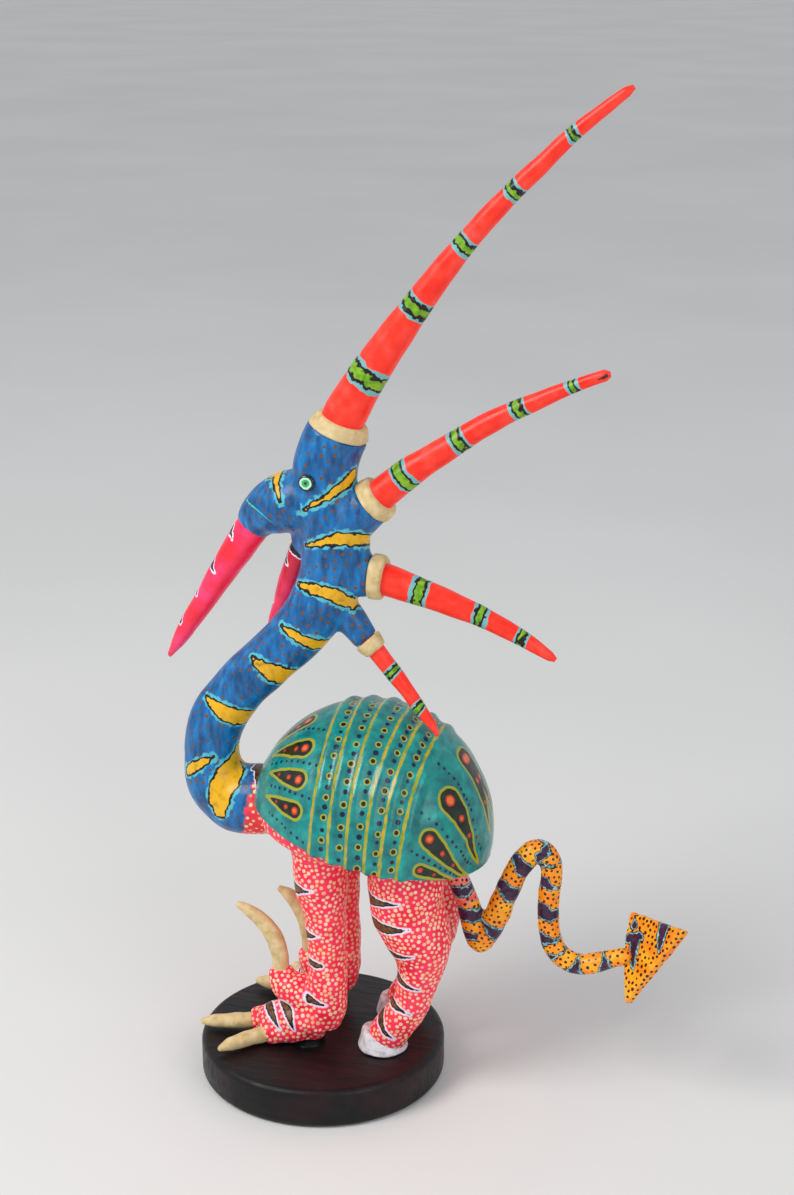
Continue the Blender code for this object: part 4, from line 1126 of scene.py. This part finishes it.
def make_front_leg(word, side):
    def placed(stations, right):
        return on_side(stations, side, **right)
    leg = placed(from_anchor(FRONT_LEG_TOP, body, stand) + FRONT_LEG_LOW, RIGHT_LEG)
    foot = placed(FOOT, RIGHT_FOOT)
    parts = [leg, foot, placed(INNER_TOE, RIGHT_FOOT), placed(OUTER_TOE, RIGHT_FOOT),
             placed(SPUR, RIGHT_SPUR), placed(HEEL_PAD, RIGHT_FOOT)]
    skin = paste_over("front_leg_" + word,
                      [limb("part_%d" % i, part, stand) for i, part in enumerate(parts)],
                      voxel_mm=0.9, rubs=4)
    hand_press(skin, 6.0, 0.55, seed=side * 4.0)
    trim_at_base(skin)
    paths = [Line(leg, stand, side).path(marks) for marks in LEG_FLECKS]
    paths += [Line(foot, stand, side).path(marks) for marks in FOOT_FLECKS]
    print("%d cream dots" % dot_pink(skin, paths, 31 + side, pad=placed(HEEL_PAD, RIGHT_FOOT)))
    settle(skin, "pink_dotted_paint", pink, "front_leg_" + word)


for word, side in (("left", LEFT), ("right", RIGHT)):
    make_front_leg(word, side)

# %% [markdown]
# ## Rear legs and hooves
#
# The rear legs are a goat's: a heavy thigh, a shank that leans back, and a thin cannon that
# runs forward into a white hoof. The hoof is a tapered drum, its top edge lower at the heel.

# %% Rear legs
THIGH = 0.0149
REAR_LEG_TOP = [(0.0172, 0.0155, -0.0025, THIGH * 0.93), (0.0178, 0.0155, -0.0160, THIGH),
                (0.0186, 0.0155, -0.0280, THIGH * 0.95)]
REAR_LEG_LOW = [(0.0412, 0.0152, 0.0525, 0.0132), (0.0428, 0.015, 0.0462, 0.0119),
                (0.0427, 0.015, 0.0400, 0.0098), (0.0415, 0.015, 0.0333, 0.0082),
                (0.0403, 0.015, 0.0270, 0.0076), (0.0382, 0.0149, 0.0206, 0.0074),
                (0.0345, 0.0146, 0.0143, 0.0076), (0.0305, 0.0140, 0.0085, 0.0080),
                (0.0285, 0.0137, 0.0045, 0.0076)]
RIGHT_REAR = {"lean": -0.065}
REAR_FLECKS = [[(19.4, 96, 3.6), (18.6, 68, 3.0), (17.6, 34, 1.6), (16.6, -5, 0.1)],
               [(25.6, 74, 2.6), (26.0, 48, 2.8), (26.8, 18, 1.8), (27.9, -14, 0.1)],
               [(38.0, 78, 2.2), (38.4, 50, 1.8), (39.2, 22, 0.9), (39.9, -1, 0.1)],
               [(54.6, 76, 1.8), (55.4, 46, 1.5), (56.1, 12, 0.8), (56.5, -21, 0.1)],
               [(68.4, 78, 1.6), (68.3, 50, 1.5), (68.0, 16, 0.8), (67.8, -17, 0.1)],
               [(78.2, 80, 2.2), (79.2, 52, 1.7), (80.2, 16, 0.9), (80.6, -23, 0.1)]]


def make_rear_leg(word, side):
    leg = on_side(from_anchor(REAR_LEG_TOP, body, stand) + REAR_LEG_LOW, side, **RIGHT_REAR)
    skin = paste_over("rear_leg_" + word, [limb("shank", leg, stand)], 0.9, 4)
    hand_press(skin, 7.0, 0.5, seed=9.0 + side)
    trim_at_base(skin)
    paths = [Line(leg, stand, side).path(marks) for marks in REAR_FLECKS]
    print("%d cream dots" % dot_pink(skin, paths, 41 + side))
    settle(skin, "pink_dotted_paint", pink, "rear_leg_" + word)


for word, side in (("left", LEFT), ("right", RIGHT)):
    make_rear_leg(word, side)

# %% Hooves
HOOF_AT, HOOF_RADIUS, HOOF_HEIGHT = (0.0270, 0.0135), 0.0102, 0.0082
HOOF_TAPER, HOOF_SLOPE = 0.78, math.radians(14)


def chalky_white():
    # Matt white acrylic, greyed where thin: no shine, faint brush drag.
    material, tree, shader, place = open_pot("matt_white_acrylic", 0.6, coat=0.08,
                                             coat_roughness=0.4)
    colour = mottled(tree, place, 2.4, "#A8A6AE", "#C9C7CE", "#DDDBE0", "#E8E6E8", detail=6.0,
                     spread=(0.28, 0.62))
    tree.links.new(colour, shader.inputs["Base Color"])
    lumpy(tree, shader, place, 2.6, strength=0.4)
    return material


def make_hoof(word, side, finish):
    bm = bmesh.new()
    bmesh.ops.create_cone(bm, cap_ends=True, segments=64, radius1=HOOF_RADIUS,
                          radius2=HOOF_RADIUS * HOOF_TAPER, depth=HOOF_HEIGHT)
    bmesh.ops.translate(bm, vec=(0, 0, HOOF_HEIGHT / 2), verts=bm.verts)
    for vert in bm.verts:
        if vert.co.z > HOOF_HEIGHT / 2:
            vert.co.z -= math.tan(HOOF_SLOPE) * (vert.co.x + HOOF_RADIUS * HOOF_TAPER)
    rims = [e for e in bm.edges if len(e.link_faces) == 2
            and any(len(f.verts) > 4 for f in e.link_faces)]
    bmesh.ops.bevel(bm, geom=rims, offset=0.0007, affect="EDGES", segments=4, profile=0.5,
                    material=-1)
    x, y, _, _ = on_side([(*HOOF_AT, 0.0, 0.0)], side, **RIGHT_REAR)[0]
    bmesh.ops.translate(bm, vec=stand + Vector((x, y, 0.0002)), verts=bm.verts)
    hoof = paste_over("hoof_" + word, [keep_bmesh("hoof_blank", bm)], 0.6, 2)
    hand_press(hoof, 5.0, 0.35, seed=side + 2.0)
    trim_at_base(hoof)
    settle(hoof, "white_hoof_paint", finish, "hoof_" + word)


white = chalky_white()
for word, side in (("left", LEFT), ("right", RIGHT)):
    make_hoof(word, side, white)

# %% [markdown]
# ## Claws
#
# Six claws of bare cream paste: two lie flat on the base before each front foot, and one
# stands up behind them like a sickle. They are limbs that shrink to a blunt point.

# %% Six claws
CLAWS = {
    "inner_claw": ([(-0.0245, 0.0148, 0.0048, 0.0030), (-0.0268, 0.0151, 0.0045, 0.0033),
                    (-0.0340, 0.0165, 0.0040, 0.0032), (-0.0420, 0.0180, 0.0034, 0.0027),
                    (-0.0474, 0.0190, 0.0030, 0.0011)], RIGHT_FOOT),
    "outer_claw": ([(-0.0172, 0.0214, 0.0042, 0.0030), (-0.0192, 0.0232, 0.0040, 0.0034),
                    (-0.0250, 0.0285, 0.0037, 0.0031), (-0.0300, 0.0335, 0.0032, 0.0026),
                    (-0.0336, 0.0370, 0.0027, 0.0010)], RIGHT_FOOT),
    "sickle_claw": ([(-0.0140, 0.0152, 0.0275, 0.0030), (-0.0143, 0.0152, 0.0304, 0.0034),
                     (-0.0150, 0.0152, 0.0372, 0.0035), (-0.0179, 0.0152, 0.0447, 0.0035),
                     (-0.0219, 0.0152, 0.0494, 0.0031), (-0.0268, 0.0152, 0.0531, 0.0026),
                     (-0.0321, 0.0152, 0.0555, 0.0012)], RIGHT_SPUR),
}


def make_claw(name, stations):
    claw = paste_over(name, [limb("claw_limb", stations, stand, sides=16)], 0.6, 2)
    hand_press(claw, 5.0, 0.35, seed=len(name))
    trim_at_base(claw)
    settle(claw, "cream_paste", cream_finish, name)


for name, (stations, right) in CLAWS.items():
    for word, side in (("left", LEFT), ("right", RIGHT)):
        make_claw("%s_%s" % (name, word), on_side(stations, side, **right))

# %% [markdown]
# ## The zigzag tail and its arrow
#
# The tail drops from the shell, folds up sharply, loops over, and runs out level to an
# arrowhead. It is orange with small dark dots. Purple bands with cyan edges cross it about
# every centimetre, wider on one side than the other. Next to the shell it is still pink.

# %% Orange tail paint
def orange_acrylic():
    # Acrylic in two yellows and an orange, satin, with dots of nearly black brown.
    material, tree, shader, place = open_pot("orange_acrylic", 0.42, coat=0.25,
                                             coat_roughness=0.2)
    orange = mottled(tree, place, 6.0, "#F88610", "#FF9E12", "#FFB624", detail=4.0,
                     spread=(0.34, 0.64))
    pink = mottled(tree, place, 3.0, "#F05A48", "#F88A7A", "#F6B0A4")
    colour = brush_over(tree, orange, pink, unsteady(tree, place, mark_on(tree, "root"), 3.0, 1.5),
                        0.0, soft=1.2)
    dots = unsteady(tree, place, mark_on(tree, "dots"), 1.0, 0.12)
    colour = brush_over(tree, colour, "#2A1608", dots, 0.0, soft=0.12)
    band = unsteady(tree, place, mark_on(tree, "bands"), 2.2, 0.6)
    purple = mottled(tree, place, 1.8, "#1B1026", "#3A1A3E", "#4E2448")
    cyan = mottled(tree, place, 1.5, "#3F7E88", "#74B4B8", "#A6D0CC")
    colour = brush_over(tree, colour, "#15100E", band, 0.4, soft=0.08)
    colour = brush_over(tree, colour, cyan, band, 0.0, soft=0.08)
    colour = brush_over(tree, colour, purple, band, -0.55, soft=0.1)
    tree.links.new(colour, shader.inputs["Base Color"])
    # A faint painted glow: the tail emits a trace of its own colour.
    tree.links.new(colour, shader.inputs["Emission Color"])
    shader.inputs["Emission Strength"].default_value = 0.03
    wear_gloss(tree, shader, place, 0.34, 0.5)
    lumpy(tree, shader, place, 3.0, strength=0.28)
    return material


TAIL_ROOT = [(0.0220, 0.0, -0.0010, 0.0040), (0.0285, 0.0, -0.0075, 0.0043),
             (0.0323, 0.0, -0.0135, 0.0043), (0.0352, 0.0, -0.0212, 0.0043),
             (0.0390, 0.0, -0.0310, 0.0046), (0.0414, 0.0, -0.0405, 0.0049),
             (0.0438, 0.0, -0.0462, 0.0048)]
TAIL_END = [(0.0437, 0.0, -0.0461, 0.0047), (0.0481, 0.0, -0.0385, 0.0050),
            (0.0544, 0.0, -0.0220, 0.0048), (0.0603, 0.001, -0.0094, 0.0046),
            (0.0661, 0.002, -0.0052, 0.0045), (0.0704, 0.002, -0.0098, 0.0043),
            (0.0703, 0.001, -0.0230, 0.0042), (0.0709, 0.0, -0.0366, 0.0042),
            (0.0747, -0.001, -0.0457, 0.0043), (0.0828, -0.002, -0.0492, 0.0042),
            (0.0915, -0.0028, -0.0468, 0.0039), (0.0975, -0.0032, -0.0441, 0.0036),
            (0.1012, -0.0028, -0.0430, 0.0035)]
# Paste that rounds the sharp bend, and paste that runs from the tail into its arrow.
TAIL_BEND = [(0.0436, 0.0, -0.0445, 0.0046), (0.0438, 0.0, -0.0470, 0.0043),
             (0.0439, 0.0, -0.0492, 0.0030), (0.0440, 0.0, -0.0505, 0.0012)]
TAIL_TIP = [(0.0985, -0.0031, -0.0439, 0.0036), (0.1015, -0.0028, -0.0429, 0.0033),
            (0.1036, -0.0024, -0.0422, 0.0022)]
# Each band: its middle along its length of tail, its half width, and where it is widest.
ROOT_BANDS = [(27.2, 1.3, 0), (37.2, 1.8, 20), (46.3, 1.2, 60)]
END_BANDS = [(9.6, 1.5, 60), (27.6, 1.9, 20), (39.3, 2.0, 50), (48.8, 1.9, 80),
             (54.4, 1.2, 120), (62.6, 1.8, 100), (74.2, 1.9, 20), (85.2, 1.8, 90),
             (92.3, 1.4, 130), (101.2, 1.8, 80), (113.0, 1.8, 90)]


def band_marks(along, angle, bands):
    """Distance to the nearest band's edge; a band is wider on its broad side."""
    swell = [1 + 0.75 * np.cos(np.radians(angle - broad)) for _, _, broad in bands]
    return np.min([np.abs(along + 0.9 * np.sin(np.radians(2 * angle)) - middle) - half * wide
                   for (middle, half, _), wide in zip(bands, swell)], axis=0)


# %% The tail
def make_tail(finish):
    parts = {"root": TAIL_ROOT, "end": TAIL_END, "bend": TAIL_BEND, "tip": TAIL_TIP}
    tail = paste_over("tail", [limb("tail_" + word, part, body)
                               for word, part in parts.items()], 0.8, 3)
    hand_press(tail, 5.0, 0.35, seed=6.0)
    places = places_on(tail)
    root, end = Line(TAIL_ROOT, body), Line(TAIL_END, body)
    root_along, root_angle = root.survey(places)
    end_along, end_angle = end.survey(places)
    to_root = np.array([root.tree.find(place)[2] for place in places])
    to_end = np.array([end.tree.find(place)[2] for place in places])
    bands = np.where(to_root < to_end, band_marks(root_along, root_angle, ROOT_BANDS),
                     band_marks(end_along, end_angle, END_BANDS))
    dots = sprinkle(places, 1.95, 51, bands > 0.9)
    radii = np.random.default_rng(52).uniform(0.42, 0.68, len(dots))
    note(tail, "bands", bands)
    note(tail, "dots", dotted(places, dots, radii))
    note(tail, "root", np.where(to_root < to_end, root_along - 33.0, 20.0))
    settle(tail, "orange_tail_paint", finish, "tail")


orange = orange_acrylic()
make_tail(orange)

# %% [markdown]
# The arrowhead is a flat slab cut to an arrow: a notch, two barbs and a tip. It is a five
# sided face, extruded to its thickness and rounded. Four purple wedges are painted on it.

# %% The arrowhead
ARROW = [(0.0992, 0.0030, -0.0385), (0.1020, 0.0100, -0.0305), (0.1250, -0.0095, -0.0258),
         (0.1040, -0.0120, -0.0585), (0.0998, -0.0060, -0.0480)]
ARROW_THICKNESS, ARROW_ROUND = 0.0042, 0.0009
# Wedges as (towards the tip, towards the upper barb, half width), in mm from the notch.
ARROW_WEDGES = [[(7.2, 9.6, 1.8), (8.2, 12.4, 0.4)],
                [(4.0, 5.8, 2.0), (9.8, 4.6, 1.7)],
                [(6.8, 4.4, 2.9), (5.4, -1.0, 2.1), (4.2, -6.6, 0.8)],
                [(22.0, 4.4, 2.5), (20.2, 0.6, 2.0), (18.4, -4.2, 0.7)]]


def make_arrow(finish):
    barb, tip, other = (Vector(ARROW[i]) for i in (1, 2, 3))
    normal = (tip - barb).cross(other - barb).normalized()
    bm = bmesh.new()
    corners = []
    for corner in ARROW:
        flat = Vector(corner) - normal * (Vector(corner) - barb).dot(normal)
        corners.append(bm.verts.new(body + flat - normal * ARROW_THICKNESS / 2))
    slab = bmesh.ops.extrude_face_region(bm, geom=[bm.faces.new(corners)])
    top = [item for item in slab["geom"] if isinstance(item, bmesh.types.BMVert)]
    bmesh.ops.translate(bm, vec=normal * ARROW_THICKNESS, verts=top)
    bmesh.ops.recalc_face_normals(bm, faces=bm.faces)
    bmesh.ops.bevel(bm, geom=list(bm.edges), offset=ARROW_ROUND, affect="EDGES", segments=3,
                    profile=0.5, material=-1)
    arrow = paste_over("tail_arrow", [keep_bmesh("arrow_slab", bm)], 0.55, 2)
    hand_press(arrow, 4.0, 0.25, seed=8.0)
    places = places_on(arrow)
    notch = (Vector(ARROW[0]) + Vector(ARROW[4])) / 2
    ahead = (tip - notch - normal * (tip - notch).dot(normal)).normalized()
    upward = normal.cross(ahead) if normal.cross(ahead).z > 0 else ahead.cross(normal)
    own = places - np.array(body + notch) / MM
    flat = np.stack([own @ np.array(ahead), own @ np.array(upward), 0 * own[:, 0]], axis=1)
    bands = strokes(flat, [[(np.array((a, b, 0.0)), w) for a, b, w in wedge]
                           for wedge in ARROW_WEDGES])
    dots = sprinkle(places, 1.95, 61, bands > 0.8)
    radii = np.random.default_rng(62).uniform(0.48, 0.74, len(dots))
    note(arrow, "bands", bands)
    note(arrow, "dots", dotted(places, dots, radii))
    note(arrow, "root", np.full(len(places), 20.0))
    settle(arrow, "orange_tail_paint", finish, "tail_arrow")


make_arrow(orange)

# %% [markdown]
# ## The base
#
# A turned wooden disc, painted black and rubbed back so that a maroon undercoat shows along
# the grain on top. Its satin rim mirrors the room a little. The disc is a cylinder whose two
# edges are beveled round.

# %% The base
def rubbed_black():
    # Satin black over maroon on turned wood: soft reflections, streaks along the grain.
    material, tree, shader, place = open_pot("rubbed_black_on_wood", 0.42)
    grain_way = add(tree, "ShaderNodeMapping", {"Vector": place, "Rotation": (0, 0, 0.5),
                                                "Scale": (0.12, 1.0, 0.5)})
    black = mottled(tree, grain_way, 2.2, "#060607", "#0B0A0C", "#141216", detail=6.0,
                    spread=(0.3, 0.75))
    maroon = mottled(tree, grain_way, 3.0, "#10080A", "#1E0C11", "#280F16", detail=6.0)
    bare = add(tree, "ShaderNodeTexNoise", {"Vector": place, "Scale": 1 / (26 * MM),
                                            "Detail": 3.0}, give="Fac")
    colour = brush_over(tree, maroon, black, bare, 0.54, soft=0.14)
    tree.links.new(colour, shader.inputs["Base Color"])
    drag = add(tree, "ShaderNodeTexNoise", {"Vector": grain_way, "Scale": 1 / (1.6 * MM),
                                            "Detail": 5.0}, give="Fac")
    rough = add(tree, "ShaderNodeMapRange", {"Value": drag, "From Min": 0.3, "From Max": 0.7,
                                             "To Min": 0.32, "To Max": 0.55})
    tree.links.new(rough, shader.inputs["Roughness"])
    bump = add(tree, "ShaderNodeBump", {"Strength": 0.18, "Distance": 0.5 * MM, "Height": drag})
    tree.links.new(bump, shader.inputs["Normal"])
    return material


BASE_ROUND = 0.0028


def make_base():
    low, high = (Vector(corner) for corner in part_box("base"))
    radius, height = (high.x - low.x) / 2, high.z - low.z
    bm = bmesh.new()
    bmesh.ops.create_cone(bm, cap_ends=True, segments=128, radius1=radius, radius2=radius,
                          depth=height)
    bmesh.ops.translate(bm, vec=(0, 0, height / 2), verts=bm.verts)
    rims = [e for e in bm.edges if abs(e.verts[0].co.z - e.verts[1].co.z) < 1e-6]
    bmesh.ops.bevel(bm, geom=rims, offset=BASE_ROUND, affect="EDGES", segments=6, profile=0.5,
                    material=-1)
    base = keep_bmesh("base", bm)
    for face in base.data.polygons:
        face.use_smooth = True
    settle(base, "base_paint", rubbed_black(), "base")


make_base()

# %% [markdown]
# ## The armature wire
#
# Six lengths of galvanised wire run inside the creature, from the base and the torso into
# the limbs. They are hidden, so the solid model's own wires stay, with zinc on them: a grey
# metal, dull, with a spangle of faintly lighter crystals.

# %% Galvanised wire
def galvanised_wire():
    # Hot-dipped zinc: a metal with a rough skin, so a soft grey shine.
    material, tree, shader, place = open_pot("galvanised_wire", 0.45)
    shader.inputs["Metallic"].default_value = 1.0
    colour = mottled(tree, place, 1.5, "#7F8488", "#9BA0A4", "#B4B8BA")
    tree.links.new(colour, shader.inputs["Base Color"])
    wear_gloss(tree, shader, place, 0.38, 0.55, size_mm=1.5)
    return material


def white_floor():
    # Matt painted board, with the faintest unevenness.
    material, tree, shader, place = open_pot("pale_painted_board", 0.7)
    colour = mottled(tree, place, 400.0, "#E4E3E1", "#E9E8E6")
    tree.links.new(colour, shader.inputs["Base Color"])
    return material


zinc = galvanised_wire()
wires = [obj for obj in bpy.data.objects if "_wire" in obj.name and obj.type == "MESH"]
for wire in wires:
    for slot in wire.material_slots:
        slot.material = zinc
floor.data.materials.append(white_floor())
print("%d wires in zinc" % len(wires))

# %% The room
room = bpy.data.worlds.new("pale_room")
bpy.context.scene.world = room
room.use_nodes = True
room.node_tree.nodes["Background"].inputs["Color"].default_value = linear("#D5D8DC")
room.node_tree.nodes["Background"].inputs["Strength"].default_value = 0.8
